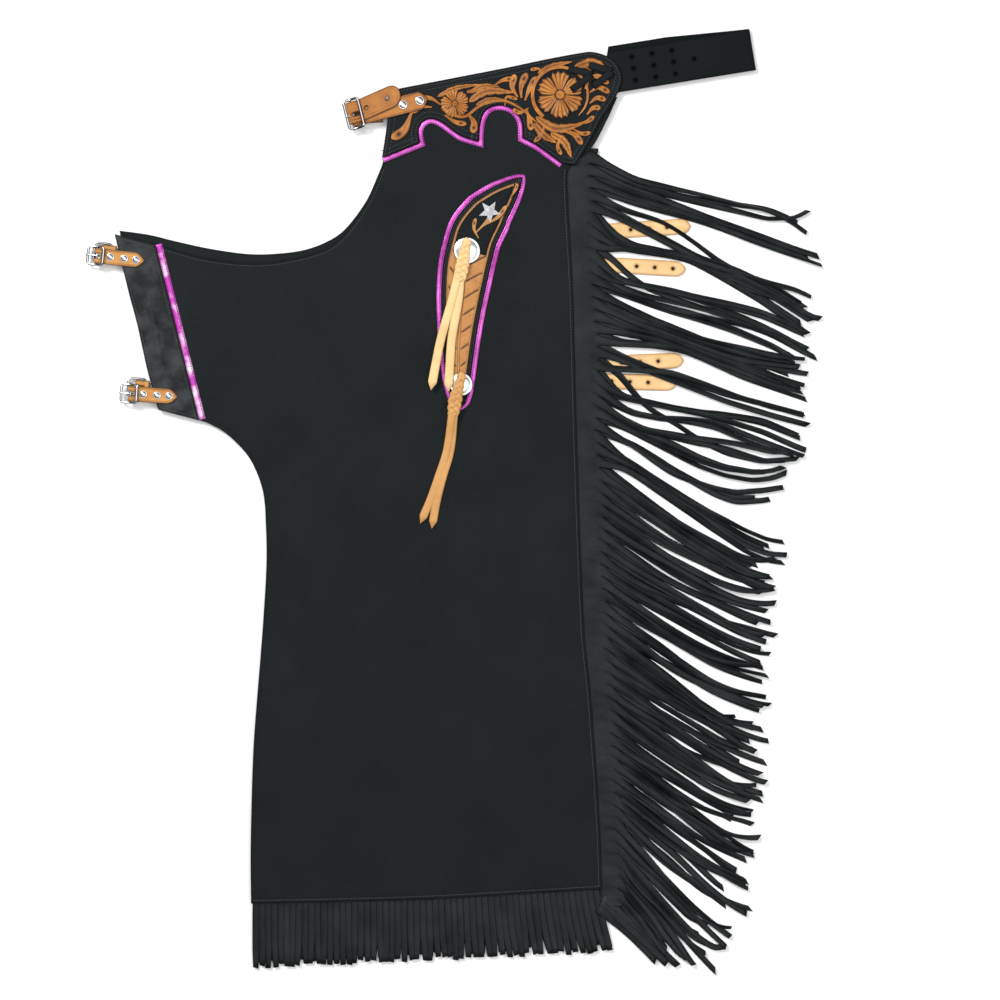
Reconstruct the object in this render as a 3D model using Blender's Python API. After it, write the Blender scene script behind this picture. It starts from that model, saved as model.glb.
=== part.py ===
"""Fringed western leather chaps, laid flat and folded in half with one leg on the other.

The tables below are in millimetres; add_piece turns them into metres. +X runs from the thigh
buckles to the side fringe, +Y from the hem to the belt and +Z up from the table. The origin is on
the table, under the middle of the whole outline. The grain side of the top leg faces up, the
under leg lies below it with its grain side down, and the belt is folded at its right end.
"""
import math

import bmesh
import bpy
import numpy as np
from mathutils import Vector
from mathutils.geometry import delaunay_2d_cdt

MM = 0.001
SEAM = 0.3                 # gap that parts two pieces at a seam or where one lies on another

# Heights above the table and leather thicknesses
UNDER_TOP = 4.9            # the under leg with the layers that it hides
UNDER_RIM = 2.4            # its edges lift off the table by this much
RIM_WIDTH = 5.0            # and round down to it over this width
PANEL_BASE = 5.2
PANEL_THICK = 2.0
OVERLAY_BASE = PANEL_BASE + PANEL_THICK + SEAM
YOKE_THICK = 2.4
YOKE_TOP = OVERLAY_BASE + YOKE_THICK
FACING_THICK = 1.8
PIPING_THICK = 1.0
PIPING_WIDTH = 5.2
FRINGE_THICK = 1.05
STRAP_THICK = 1.8
SLAB_SETBACK = 8.0         # how far inside the seams the hidden layers stop
SEAM_ALLOWANCE = 7.7       # how far the top leg's fringe strips run in under the panel
TUCKED = 8.5               # and the under leg's, which reach below the rim of the under leg

# Waist belt
BELT_START = (158.4, 466.3)
BELT_ANGLE = math.radians(9.2)
BELT_LENGTH = 171.0
BELT_WIDTH = 46.0
BELT_THICK = 2.4
BELT_SHIFT = 6.0           # how far the under half shows above the top half
BELT_HOLE = 3.9
BELT_HOLE_COLUMNS = ((39.5, 3), (62.0, 3), (84.0, 3), (107.0, 1))   # distance along, holes
BELT_HOLE_PITCH = 13.0

# Thigh buckles: place of the bar, strap direction, height of the bar and strap lengths
LEG_BAR_Z = 9.6
UNDER_BAR_Z = 4.55
LEG_BUCKLES = (
    # name, bar x, bar y, direction, length to the tip, length under the strap, rivets along it
    ("upper", -391.6, 267.0, -6.3, 52.8, 22.0, (14.8, 30.2, 43.2)),
    ("lower", -354.9, 115.7, -4.0, 52.0, 22.7, (14.2, 29.4, 42.4)),
)
UNDER_BUCKLES = (
    # name, shift of the bar from the top leg's bar in x and y, strap length
    ("upper", 6.6, 4.0, 13.9),
    ("lower", 7.6, 6.6, 12.6),
)
LEG_STRAP_WIDTH = 16.5
LEG_STRAP_THICK = 1.6
LEG_STRAP_POINT = 8.0      # length of its pointed end
BAR_RADIUS = 1.1
FRAME_TILT = math.radians(12.0)
FRAME_LEFT = -10.5
FRAME_RIGHT = 8.0

# Front strap: the buckle's bar, its direction, and the two leathers
FRONT_BAR = (-110.6, 422.4, 10.05)
FRONT_ANGLE = math.radians(14.0)
FRONT_BAR_RADIUS = 1.3
FRONT_CHAPE = dict(width=20.0, thick=1.8, tip=83.5, back=35.0, aside=-3.6)
FRONT_BILLET = dict(width=24.0, thick=1.8, tip=56.0, back=30.0)
FRONT_RIVETS = (55.6, 74.6)
FRONT_PRONG = -1.4         # how far the prong stands aside of the frame's middle
PRONG_SLOT = 1.9           # half width of the slots that it passes through

# Finishes: linear colour, roughness, metallic
FINISHES = {
    "black_leather": ((0.014, 0.017, 0.019), 0.62, 0.0),
    "smooth_leather": ((0.030, 0.033, 0.037), 0.45, 0.0),
    "pink_foil": ((0.58, 0.045, 0.40), 0.30, 0.7),
    "tooled_leather": ((0.52, 0.20, 0.045), 0.50, 0.0),
    "strap_leather": ((0.72, 0.46, 0.21), 0.55, 0.0),
    "lace_leather": ((0.66, 0.42, 0.20), 0.60, 0.0),
    "nickel": ((0.70, 0.70, 0.72), 0.22, 1.0),
    "grey_metal": ((0.33, 0.34, 0.36), 0.35, 0.8),
}

CORNER = 0
ROUND = 1

# Side seam from waist to hem: y, edge of the panel, start of the fringe slits
SIDE_SEAM = (
    (390.0, 150.5, 156.0),
    (380.0, 140.0, 153.2),
    (366.0, 128.5, 150.5),
    (355.0, 124.3, 149.5),
    (230.0, 130.4, 154.0),
    (54.0, 135.3, 156.4),
    (-142.0, 143.0, 164.5),
    (-216.0, 150.2, 170.0),
    (-304.0, 156.8, 176.0),
    (-367.0, 160.6, 179.0),
    (-428.5, 162.8, 181.5),
    (-446.0, 163.0, 182.0),
)

# Hem from the side seam to the inseam: x, y, lowest point of the fringe below it
HEM = (
    (162.8, -428.5, -497.5),
    (87.5, -432.9, -500.5),
    (-41.8, -440.0, -507.0),
    (-222.8, -444.4, -515.0),
)

# Inseam up to the thigh, x and y
INSEAM = (
    (-223.3, -386.0, ROUND),
    (-220.0, -270.6, ROUND),
    (-212.3, -171.6, ROUND),
    (-206.0, -75.0, ROUND),
    (-206.8, -23.1, ROUND),
    (-210.1, 9.9, ROUND),
    (-223.3, 42.9, ROUND),
    (-240.9, 63.8, ROUND),
    (-257.4, 77.0, ROUND),
)

# Thigh edge, from the inseam corner up to the buckle corner
THIGH = (
    (-273.9, 84.7, CORNER),
    (-324.5, 97.9, CORNER),
    (-336.6, 141.9, ROUND),
    (-347.6, 191.4, ROUND),
    (-356.4, 224.4, ROUND),
    (-372.4, 290.8, CORNER),
)

# Crotch curve of the top leg, from the thigh corner to the yoke
CROTCH = (
    (-321.0, 278.0, ROUND),
    (-279.4, 266.2, ROUND),
    (-244.2, 260.7, ROUND),
    (-209.0, 259.6, ROUND),
    (-181.5, 263.2, ROUND),
    (-152.9, 270.3, ROUND),
    (-132.0, 280.1, ROUND),
    (-111.1, 302.5, ROUND),
    (-95.5, 326.5, ROUND),
    (-84.5, 350.0, ROUND),
    (-77.5, 372.0, CORNER),
    (-71.5, 410.0, ROUND),
    (-66.0, 445.0, CORNER),
)

# Crotch curve of the under leg, which shows above the top leg's edge
UNDER_CROTCH = (
    (-367.4, 294.8, CORNER),
    (-335.5, 290.4, CORNER),
    (-279.4, 277.2, ROUND),
    (-237.6, 270.3, ROUND),
    (-209.0, 268.8, ROUND),
    (-167.2, 273.0, ROUND),
    (-139.2, 282.9, ROUND),
    (-119.5, 296.5, ROUND),
    (-96.0, 328.0, ROUND),
    (-85.5, 351.0, ROUND),
    (-76.3, 373.0, CORNER),
    (-70.0, 410.0, ROUND),
    (-64.5, 443.0, CORNER),
)

# Waist edge of both legs under the yoke, with the notch that holds the belt's end
WAIST = (
    (59.4, 470.0, ROUND),
    (124.3, 482.9, ROUND),
    (154.0, 486.2, CORNER),
    (161.3, 442.6, CORNER),
    (179.5, 441.5, CORNER),
    (167.5, 415.0, CORNER),
)

# Lower edge of the yoke, from its left corner to its right one
SCALLOPS = (
    (-79.0, 374.2, CORNER),
    (-37.4, 390.9, CORNER),
    (-39.2, 402.0, ROUND),
    (-36.3, 411.6, ROUND),
    (-27.6, 417.4, ROUND),
    (-16.8, 415.4, ROUND),
    (-5.9, 408.3, ROUND),
    (8.0, 398.6, ROUND),
    (27.2, 392.5, CORNER),
    (28.4, 410.0, ROUND),
    (35.0, 426.6, ROUND),
    (50.6, 432.3, ROUND),
    (66.0, 427.0, ROUND),
    (74.6, 414.0, ROUND),
    (75.7, 396.4, CORNER),
    (92.0, 387.8, ROUND),
    (107.1, 376.9, ROUND),
    (119.1, 368.2, CORNER),
)

# Rest of the yoke, from its right corner round the waist to its left corner
YOKE_WAIST = (
    (133.1, 366.6, CORNER),
    (146.3, 387.8, ROUND),
    (163.7, 420.3, ROUND),
    (176.8, 440.0, ROUND),
    (184.4, 461.7, ROUND),
    (177.0, 479.5, ROUND),
    (163.9, 487.7, ROUND),
    (146.0, 490.6, ROUND),
    (59.4, 473.7, ROUND),
    (-69.0, 448.8, CORNER),
    (-73.6, 410.0, ROUND),
)

# Long leaf applied to the thigh: middle line, and half width at shares of its length
LEAF_SPINE = ((7.0, 97.0), (5.0, 152.0), (8.0, 208.0), (14.5, 258.0), (29.0, 302.0), (78.0, 356.0))
LEAF_WIDTH = ((0.0, 0.0), (0.02, 9.0), (0.07, 15.0), (0.18, 20.5), (0.36, 26.0), (0.55, 31.0),
              (0.70, 31.5), (0.82, 26.0), (0.92, 16.0), (0.98, 6.5), (1.0, 0.0))
LEAF_EDGE = 5.4            # width of its piping
LEAF_MARGIN = 5.0          # black base that shows round the overlay
LEAF_RIB = 0.7             # height of the overlay's middle rib

# Raised leaves of the yoke's carving: middle line from stalk to tip, greatest half width
YOKE_LEAVES = (
    ((-67.5, 398.0), (-52.0, 404.0), (-45.5, 424.0), 5.0),
    ((19.0, 432.0), (36.0, 448.0), (84.0, 455.0), 6.5),
    ((20.0, 420.0), (17.0, 411.0), (20.0, 402.0), 4.5),
    ((88.0, 415.0), (114.0, 401.0), (147.0, 412.0), 7.0),
    ((108.0, 392.0), (124.0, 389.0), (130.0, 374.0), 5.0),
    ((134.0, 474.0), (158.0, 480.0), (174.0, 462.0), 5.5),
)
YOKE_FLOWERS = (
    # name, x, y, radius, petals
    ("large", 116.6, 443.5, 23.0, 8),
    ("small", 1.0, 433.5, 14.5, 6),
)
CARVING_HEIGHT = 1.1

# Side fringe: root height, then x and y of the strand's tip
SIDE_TIPS = (
    (376.0, 400.0, 318.0),
    (285.0, 395.0, 258.0),
    (197.0, 394.0, 170.0),
    (109.0, 387.0, 82.0),
    (21.0, 365.0, -7.0),
    (-67.0, 353.0, -100.0),
    (-155.0, 343.0, -208.0),
    (-243.0, 339.0, -298.0),
    (-331.0, 333.0, -395.0),
    (-375.0, 327.0, -441.0),
    (-408.0, 316.0, -470.0),
    (-440.0, 295.0, -512.0),
)
# Each row of side strands: name, base height, strands, first and last root, drop of the tips at
# the waist and at the hem, reach, clump length in strands, and how much they clump
SIDE_ROWS = (
    ("side_fringe_a", 3.85, 62, 375.0, -437.0, 6.0, 1.0, 1.0, 7.0, 4.2),
    ("side_fringe_b", 2.50, 62, 368.5, -441.0, -14.0, -4.0, -5.0, 9.0, 4.0),
)
UNDER_FRINGE_BASE = 0.8
UNDER_FRINGE_RUNS = ((372.0, 356.0, 2), (236.0, 205.0, 4), (98.0, -428.0, 28))
STRIP_FOOT = 160.6         # left edge of the strips where they run on below the hem
HEM_CLEAR = -421.0
STRAND_WIDTH = 6.3
STRAND_CURVES = ((-440.0, 1.5), (240.0, 1.5), (380.0, 2.5))   # root height, bend near the root

# Hem fringe: name, base height, seam allowance, strands, their width, sway and lift of the tips
HEM_ROWS = (
    ("hem_fringe", 3.85, SEAM_ALLOWANCE, 56, 5.9, 0.7, 0.0),
    ("hem_fringe_under", UNDER_FRINGE_BASE, TUCKED, 36, 6.4, -1.4, 5.0),
)

# Holed straps below the side fringe: name, start, tip, first hole
LEG_STRAPS = (
    ("strap_under_upper", (152.0, 293.5), (260.7, 300.3), 22.5),
    ("strap_upper", (159.0, 258.5), (255.2, 252.3), 22.0),
    ("strap_under_lower", (156.2, 148.8), (253.0, 152.6), 8.4),
    ("strap_lower", (160.5, 130.0), (245.3, 127.0), 13.0),
)
HOLED_STRAP_WIDTH = 16.5
HOLE_PITCH = 20.0
HOLE_SIZE = 3.9

# Conchos and the braided ties that hang from them
CONCHOS = (("concho_upper", 14.3, 272.5, 14.6), ("concho_lower", 8.0, 125.7, 12.6))
BRAIDS = (
    # name, then x, y and width of the braid from its knot down
    ("tie_upper", ((14.0, 284.0, 9.0), (11.5, 268.0, 13.0), (8.5, 252.0, 15.5), (6.2, 243.0, 14.5))),
    ("tie_lower", ((8.5, 137.0, 9.0), (5.8, 124.0, 11.0), (1.5, 108.0, 15.5), (-0.8, 94.0, 14.5))),
)
TAILS = (
    # middle line of each tail, the fork between them, width, and lift of the ends
    (((2.6, 238.0), (-3.5, 217.0), (-13.6, 177.7), (-19.4, 150.0), (-22.6, 133.0)),
     ((7.6, 238.0), (4.6, 217.0), (-2.4, 177.7), (-4.4, 150.0), (-5.6, 131.0)),
     (-8.2, 173.0), 10.0, 1.3),
    (((-3.4, 87.0), (-8.6, 54.0), (-17.0, 26.0), (-26.0, 0.0), (-32.6, -14.0)),
     ((1.0, 86.0), (-3.0, 54.0), (-11.0, 26.0), (-18.0, 0.0), (-22.4, -19.0)),
     (-27.2, -8.0), 9.2, 0.0),
)
BRAID_THICK = 3.4
TAIL_THICK = 1.8
DRAPE_SHARES = (0.0, 0.35, 0.6, 0.8, 1.02)     # down the braid from the top of the concho
DRAPE_RISES = (2.8, 2.75, 2.4, 1.6, 0.0)       # height above the overlay at each

# Soft folds of the top leg: middle, direction, half length, half width, height
FOLDS = (
    (-150.0, -352.0, 97.0, 85.0, 40.0, 0.8),
    (-42.0, -360.0, 84.0, 80.0, 38.0, 1.0),
    (68.0, -352.0, 76.0, 80.0, 40.0, 0.8),
    (-60.0, -190.0, 62.0, 120.0, 50.0, 0.8),
    (-150.0, 120.0, 150.0, 70.0, 48.0, 0.8),
)
PANEL_GRID = 52.0


def clear_scene():
    """Empties the scene that the script runs in."""
    for old in list(bpy.data.objects):
        bpy.data.objects.remove(old, do_unlink=True)


def finish(name):
    """Gives the material of that name, made once."""
    material = bpy.data.materials.get(name)
    if material is None:
        colour, roughness, metallic = FINISHES[name]
        material = bpy.data.materials.new(name)
        material.use_nodes = True
        shader = material.node_tree.nodes["Principled BSDF"]
        shader.inputs["Base Color"].default_value = (*colour, 1.0)
        shader.inputs["Roughness"].default_value = roughness
        shader.inputs["Metallic"].default_value = metallic
    return material


def add_piece(name, finish_name, points, faces, seat=None, smooth=False):
    """Makes one closed piece from points in millimetres, in its seat's frame if it has one."""
    mesh = bpy.data.meshes.new(name)
    mesh.from_pydata([Vector(point) * MM for point in points], [], faces)
    shape = bmesh.new()
    shape.from_mesh(mesh)
    bmesh.ops.recalc_face_normals(shape, faces=shape.faces)
    shape.to_mesh(mesh)
    shape.free()
    mesh.materials.append(finish(finish_name))
    if smooth:
        mesh.shade_smooth()
        mesh.set_sharp_from_angle(angle=math.radians(40.0))
    piece = bpy.data.objects.new(name, mesh)
    bpy.context.collection.objects.link(piece)
    piece.parent = seat
    return piece


def add_seat(name, place, rotation):
    """Adds the empty that a buckle's pieces are parented to, on the axis of its bar."""
    seat = bpy.data.objects.new(name, None)
    bpy.context.collection.objects.link(seat)
    seat.location = Vector(place) * MM
    seat.rotation_euler = rotation
    return seat


def signed_area(points):
    """Area of a closed outline, positive where it runs anticlockwise."""
    total = 0.0
    for (x0, y0), (x1, y1) in zip(points, points[1:] + points[:1]):
        total += x0 * y1 - x1 * y0
    return total / 2.0


def smooth_line(rows, steps, closed=False):
    """Runs straight between corners and in soft curves through round points."""
    count = len(rows)
    spans = count if closed else count - 1
    points = []
    for index in range(spans):
        start = rows[index]
        end = rows[(index + 1) % count]
        before = rows[index - 1] if closed or index > 0 else start
        after = rows[(index + 2) % count] if closed or index + 2 < count else end
        points.append((start[0], start[1]))
        if start[2] == CORNER and end[2] == CORNER:
            continue
        chord = Vector((end[0] - start[0], end[1] - start[1]))
        leave = chord.copy()
        arrive = chord.copy()
        if start[2] == ROUND:
            leave = Vector((end[0] - before[0], end[1] - before[1])).normalized() * chord.length
        if end[2] == ROUND:
            arrive = Vector((after[0] - start[0], after[1] - start[1])).normalized() * chord.length
        for step in range(1, steps):
            t = step / steps
            blend = t * t * (3.0 - 2.0 * t)
            swing = t * (1.0 - t)
            x = start[0] + chord.x * blend + swing * ((1.0 - t) * leave.x - t * arrive.x)
            y = start[1] + chord.y * blend + swing * ((1.0 - t) * leave.y - t * arrive.y)
            points.append((x, y))
    if not closed:
        points.append((rows[-1][0], rows[-1][1]))
    return points


def offset(points, distance, closed=True):
    """Moves an outline to its left by a distance, with its corners mitred."""
    count = len(points)
    moved = []
    for index, here in enumerate(points):
        before = points[index - 1] if closed or index > 0 else None
        after = points[(index + 1) % count] if closed or index + 1 < count else None
        sides = []
        for start, end in ((before, here), (here, after)):
            if start is not None and end is not None:
                along = Vector((end[0] - start[0], end[1] - start[1])).normalized()
                sides.append(Vector((-along.y, along.x)))
        if len(sides) == 1:
            shift = sides[0]
        else:
            shift = (sides[0] + sides[1]) / max(1.0 + sides[0].dot(sides[1]), 0.3)
        moved.append((here[0] + shift.x * distance, here[1] + shift.y * distance))
    return moved


def inside(x, y, points):
    """Says whether a point lies inside a closed outline."""
    found = False
    for (x0, y0), (x1, y1) in zip(points, points[1:] + points[:1]):
        if (y0 > y) != (y1 > y) and x < (x1 - x0) * (y - y0) / (y1 - y0) + x0:
            found = not found
    return found


def edge_distance(x, y, points):
    """Shortest distance from a point to a closed outline."""
    here = Vector((x, y))
    best = 1e9
    for start, end in zip(points, points[1:] + points[:1]):
        a = Vector(start)
        run = Vector(end) - a
        share = min(1.0, max(0.0, (here - a).dot(run) / run.length_squared))
        best = min(best, (here - a - run * share).length)
    return best


def cut_sheet(outline, holes=(), loops=(), lines=(), points=()):
    """Fills a flat outline with triangles and gives its points, faces and open edges."""
    flat = []
    edges = []
    for ring in (outline, *holes, *loops):
        first = len(flat)
        flat.extend(ring)
        edges.extend((first + i, first + (i + 1) % len(ring)) for i in range(len(ring)))
    for start, end in lines:
        edges.append((len(flat), len(flat) + 1))
        flat.extend((start, end))
    flat.extend(points)
    result = delaunay_2d_cdt([Vector(point) for point in flat], edges, [], 0, 1e-4)
    corners = result[0]
    faces = []
    for face in result[2]:
        middle = sum((corners[i] for i in face), Vector((0.0, 0.0))) / len(face)
        if not inside(middle.x, middle.y, outline):
            continue
        if any(inside(middle.x, middle.y, hole) for hole in holes):
            continue
        turn = signed_area([tuple(corners[i]) for i in face])
        faces.append(tuple(face) if turn > 0.0 else tuple(reversed(face)))
    used = sorted({i for face in faces for i in face})
    renumber = {old: new for new, old in enumerate(used)}
    faces = [tuple(renumber[i] for i in face) for face in faces]
    directed = {(face[i], face[(i + 1) % 3]) for face in faces for i in range(3)}
    rim = [(a, b) for a, b in directed if (b, a) not in directed]
    return [tuple(corners[i]) for i in used], faces, sorted(rim)


def add_sheet(name, finish_name, outline, place, seat=None, **cut):
    """Makes one closed leather piece; place gives the lower and upper point of a flat point."""
    if signed_area(outline) < 0.0:
        outline = outline[::-1]
    flat, faces, rim = cut_sheet(outline, **cut)
    on_rim = {i for edge in rim for i in edge}
    count = len(flat)
    pairs = [place(x, y, index in on_rim) for index, (x, y) in enumerate(flat)]
    points = [pair[0] for pair in pairs] + [pair[1] for pair in pairs]
    solid = [tuple(reversed(face)) for face in faces]
    solid += [tuple(i + count for i in face) for face in faces]
    solid += [(a, b, b + count, a + count) for a, b in rim]
    return add_piece(name, finish_name, points, solid, seat)


def folds(x, y):
    """Height of the soft folds of the top leg above its plane."""
    height = 0.0
    for middle_x, middle_y, direction, half_length, half_width, rise in FOLDS:
        turn = math.radians(direction)
        along = (x - middle_x) * math.cos(turn) + (y - middle_y) * math.sin(turn)
        across = (y - middle_y) * math.cos(turn) - (x - middle_x) * math.sin(turn)
        height += rise * math.exp(-((along / half_length) ** 2) - (across / half_width) ** 2)
    return height


def flat_layer(base, thick, waves=folds):
    """Gives a place function for leather that lies on the top leg at a height."""
    def place(x, y, on_rim):
        lift = base + waves(x, y)
        return (x, y, lift), (x, y, lift + thick)
    return place


def level(x, y):
    """Stands for a layer without folds."""
    return 0.0


def column(rows, value, index):
    """Reads a column of a table at a value of its first column."""
    ordered = sorted(rows)
    return float(np.interp(value, [row[0] for row in ordered], [row[index] for row in ordered]))


def side_edge(y, setback=0.0):
    """X of the top leg's side seam at a height, moved in by a setback."""
    return column(SIDE_SEAM, y, 1) - setback


def side_rows(setback):
    """Side seam as outline rows, from the waist to the hem."""
    return [(row[1] - setback, row[0], CORNER) for row in SIDE_SEAM[2:-2]]


def hem_y(x):
    """Y of the hem seam at a place along it."""
    return column(HEM, x, 1)


def leg_outline(crotch, setback, inset):
    """Outline of one leg: waist, side seam, hem, inseam, thigh and crotch curve."""
    rows = [row for row in WAIST]
    if setback > 0.0:
        rows = [(x - inset, y - inset, kind) for x, y, kind in WAIST[:3]]
        rows += [(WAIST[3][0] - inset, 420.0, CORNER)]
    else:
        rows += [(150.3, 384.5, CORNER)]
    rows += side_rows(setback)
    rows += [(HEM[0][0] - setback, HEM[0][1] + setback, CORNER)]
    rows += [(x, y + setback, CORNER) for x, y, low in HEM[1:3]]
    rows += [(HEM[3][0] + inset, HEM[3][1] + setback, CORNER)]
    rows += [(x + inset, y, kind) for x, y, kind in INSEAM]
    rows += [(x + inset, y + inset, kind) for x, y, kind in THIGH[:-1]]
    if inset == 0.0:
        rows += [THIGH[-1]]
    rows += crotch
    return smooth_line(rows, 2, closed=True)


def build_under_leg():
    """Makes the under leg with the layers it hides: flat below, lifted and rounded at its rim."""
    outline = leg_outline(UNDER_CROTCH, SLAB_SETBACK, 1.0)
    if signed_area(outline) < 0.0:
        outline = outline[::-1]
    foot = offset(outline, RIM_WIDTH)

    def place(x, y, on_rim):
        low = UNDER_RIM if on_rim else 0.0
        return (x, y, low), (x, y, UNDER_TOP)
    add_sheet("leg_under", "black_leather", outline, place, loops=(foot,))


def grid_inside(outline, pitch, margin):
    """Points of a staggered grid that lie inside an outline, clear of its edge."""
    xs = [x for x, y in outline]
    ys = [y for x, y in outline]
    points = []
    row = 0
    y = min(ys) + pitch / 2.0
    while y < max(ys):
        x = min(xs) + (pitch / 2.0 if row % 2 else 0.0)
        while x < max(xs):
            if inside(x, y, outline) and edge_distance(x, y, outline) > margin:
                points.append((x, y))
            x += pitch
        y += pitch * 0.87
        row += 1
    return points


def build_top_leg():
    """Makes the top leg's panel, its thigh facing and the metallic strip beside the facing."""
    outline = leg_outline(CROTCH, 0.0, 0.0)
    points = grid_inside(outline, PANEL_GRID, PANEL_GRID * 0.4)
    add_sheet("leg_panel", "black_leather", outline, flat_layer(PANEL_BASE, PANEL_THICK), points=points)

    facing_top = (-327.8, 278.9)
    facing_foot = (-279.9, 86.3)
    edge = smooth_line(THIGH[1:], 2)
    facing = edge + [facing_top, facing_foot]
    crease_start = Vector((-343.0, 252.0))
    crease_end = Vector((-318.0, 131.0))
    run = crease_end - crease_start
    crease = [tuple(crease_start + run * share) for share in (0.0, 0.33, 0.67, 1.0)]
    side = Vector((-run.y, run.x)).normalized() * 7.0
    banks = [(x + side.x * turn, y + side.y * turn) for x, y in crease for turn in (-1.0, 1.0)]

    def place(x, y, on_rim):
        away = Vector((x, y)) - crease_start
        share = away.dot(run) / run.length_squared
        across = abs(away.dot(side)) / side.length
        dip = 0.7 if 0.1 < share < 0.9 and across < 1.0 else 0.0
        return (x, y, OVERLAY_BASE), (x, y, OVERLAY_BASE + FACING_THICK - dip)
    add_sheet("thigh_facing", "smooth_leather", facing, place,
              lines=list(zip(crease, crease[1:])), points=banks)

    strip_width = 7.4
    left = offset([facing_top, facing_foot], SEAM, closed=False)
    right = offset([facing_top, facing_foot], SEAM + strip_width, closed=False)
    add_sheet("thigh_piping", "pink_foil", left + right[::-1], flat_layer(OVERLAY_BASE, PIPING_THICK))


def build_yoke():
    """Makes the scalloped yoke, its metallic piping and the raised parts of its carving."""
    scallops = smooth_line(SCALLOPS, 2)
    waist = smooth_line(YOKE_WAIST, 2)
    outline = scallops + waist
    add_sheet("yoke", "black_leather", outline, flat_layer(OVERLAY_BASE, YOKE_THICK, level))

    upper = offset(scallops, -SEAM, closed=False)
    lower = offset(scallops, -SEAM - PIPING_WIDTH, closed=False)
    add_sheet("yoke_piping", "pink_foil", upper + lower[::-1],
              flat_layer(OVERLAY_BASE, PIPING_THICK, level))

    base = YOKE_TOP + SEAM
    for name, x, y, radius, petals in YOKE_FLOWERS:
        steps = petals * 4
        rim = []
        for step in range(steps):
            turn = 2.0 * math.pi * step / steps
            reach = radius * (0.88 + 0.12 * abs(math.cos(turn * petals / 2.0)) ** 0.5)
            rim.append((x + reach * math.cos(turn), y + reach * math.sin(turn)))
        inner = []
        for step in range(petals):
            turn = 2.0 * math.pi * (step + 0.5) / petals
            inner.append((x + radius * 0.35 * math.cos(turn), y + radius * 0.35 * math.sin(turn)))

        def place(px, py, on_rim):
            share = math.hypot(px - x, py - y) / radius
            rise = CARVING_HEIGHT * (1.25 if share < 0.1 else 0.65 if share < 0.5 else 1.0)
            return (px, py, base), (px, py, base + rise)
        add_sheet("yoke_flower_" + name, "tooled_leather", rim, place, points=inner + [(x, y)])

    widths = ((0.0, 0.16), (0.3, 0.8), (0.6, 1.0), (0.85, 0.62), (1.0, 0.0))
    for index, (stalk, bend, tip, half) in enumerate(YOKE_LEAVES, start=1):
        spine = smooth_line([(*stalk, ROUND), (*bend, ROUND), (*tip, ROUND)], 4)
        outline = leaf_outline(spine, [(share, width * half) for share, width in widths], 0.0)
        name = "yoke_leaf_%d" % index
        add_sheet(name, "tooled_leather", outline, flat_layer(base, CARVING_HEIGHT, level))


def spine_point(spine, share):
    """Point and left-hand normal at a share of the length of a line."""
    lengths = [0.0]
    for start, end in zip(spine, spine[1:]):
        lengths.append(lengths[-1] + math.dist(start, end))
    goal = min(max(share, 0.0), 1.0) * lengths[-1]
    index = 0
    while index < len(spine) - 2 and lengths[index + 1] < goal:
        index += 1
    run = Vector(spine[index + 1]) - Vector(spine[index])
    place = Vector(spine[index]) + run * ((goal - lengths[index]) / run.length)
    before = Vector(spine[max(index - 1, 0)])
    after = Vector(spine[min(index + 2, len(spine) - 1)])
    along = (after - before).normalized()
    return place, Vector((-along.y, along.x))


def leaf_outline(spine, rows, inset):
    """Outline of a leaf on a middle line, moved in from its edge by an inset."""
    widths = smooth_line([(share, width, ROUND) for share, width in rows], 2)
    shares = [share for share, width in widths]
    halves = [width for share, width in widths]
    kept = [share for share, width in widths if width > inset + 0.4]
    for index in range(len(widths) - 1):
        low, high = sorted((halves[index], halves[index + 1]))
        if low <= inset < high:
            rise = halves[index + 1] - halves[index]
            reach = shares[index + 1] - shares[index]
            kept.append(shares[index] + (inset - halves[index]) / rise * reach)
    kept = sorted(kept)
    left = []
    right = []
    for share in kept:
        place, side = spine_point(spine, share)
        half = float(np.interp(share, shares, halves)) - inset
        if half < 0.3:
            left.append(tuple(place))
            continue
        left.append(tuple(place + side * half))
        right.append(tuple(place - side * half))
    return left + right[::-1]


def build_leaf():
    """Makes the applied leaf: piping ring, black base, tooled overlay with a rib, and a star."""
    spine = smooth_line([(*point, ROUND) for point in LEAF_SPINE], 4)
    outer = leaf_outline(spine, LEAF_WIDTH, 0.0)
    ring_hole = leaf_outline(spine, LEAF_WIDTH, LEAF_EDGE)
    add_sheet("leaf_piping", "pink_foil", outer, flat_layer(OVERLAY_BASE, PIPING_THICK, level),
              holes=(ring_hole,))
    base_thick = 1.5
    base = leaf_outline(spine, LEAF_WIDTH, LEAF_EDGE + SEAM)
    add_sheet("leaf_base", "black_leather", base, flat_layer(OVERLAY_BASE, base_thick, level))

    overlay_z = OVERLAY_BASE + base_thick + SEAM
    overlay_thick = 1.2
    overlay = leaf_outline(spine, LEAF_WIDTH, LEAF_EDGE + LEAF_MARGIN)
    rib = [tuple(spine_point(spine, 0.08 + 0.84 * step / 12)[0]) for step in range(13)]

    def place(x, y, on_rim):
        rise = 0.0 if on_rim else LEAF_RIB
        return (x, y, overlay_z), (x, y, overlay_z + overlay_thick + rise)
    add_sheet("leaf_overlay", "tooled_leather", overlay, place, lines=list(zip(rib, rib[1:])))

    top = overlay_z + overlay_thick + LEAF_RIB + SEAM
    middle, side = spine_point(spine, 0.80)
    star = []
    for step in range(10):
        reach = 12.5 if step % 2 == 0 else 5.4
        turn = math.radians(58.0 + 36.0 * step)
        star.append((middle.x + reach * math.cos(turn), middle.y + reach * math.sin(turn)))

    def star_place(x, y, on_rim):
        return (x, y, top), (x, y, top + (0.5 if on_rim else 1.2))
    add_sheet("leaf_star", "grey_metal", star, star_place, points=[tuple(middle)])
    return top


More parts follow.
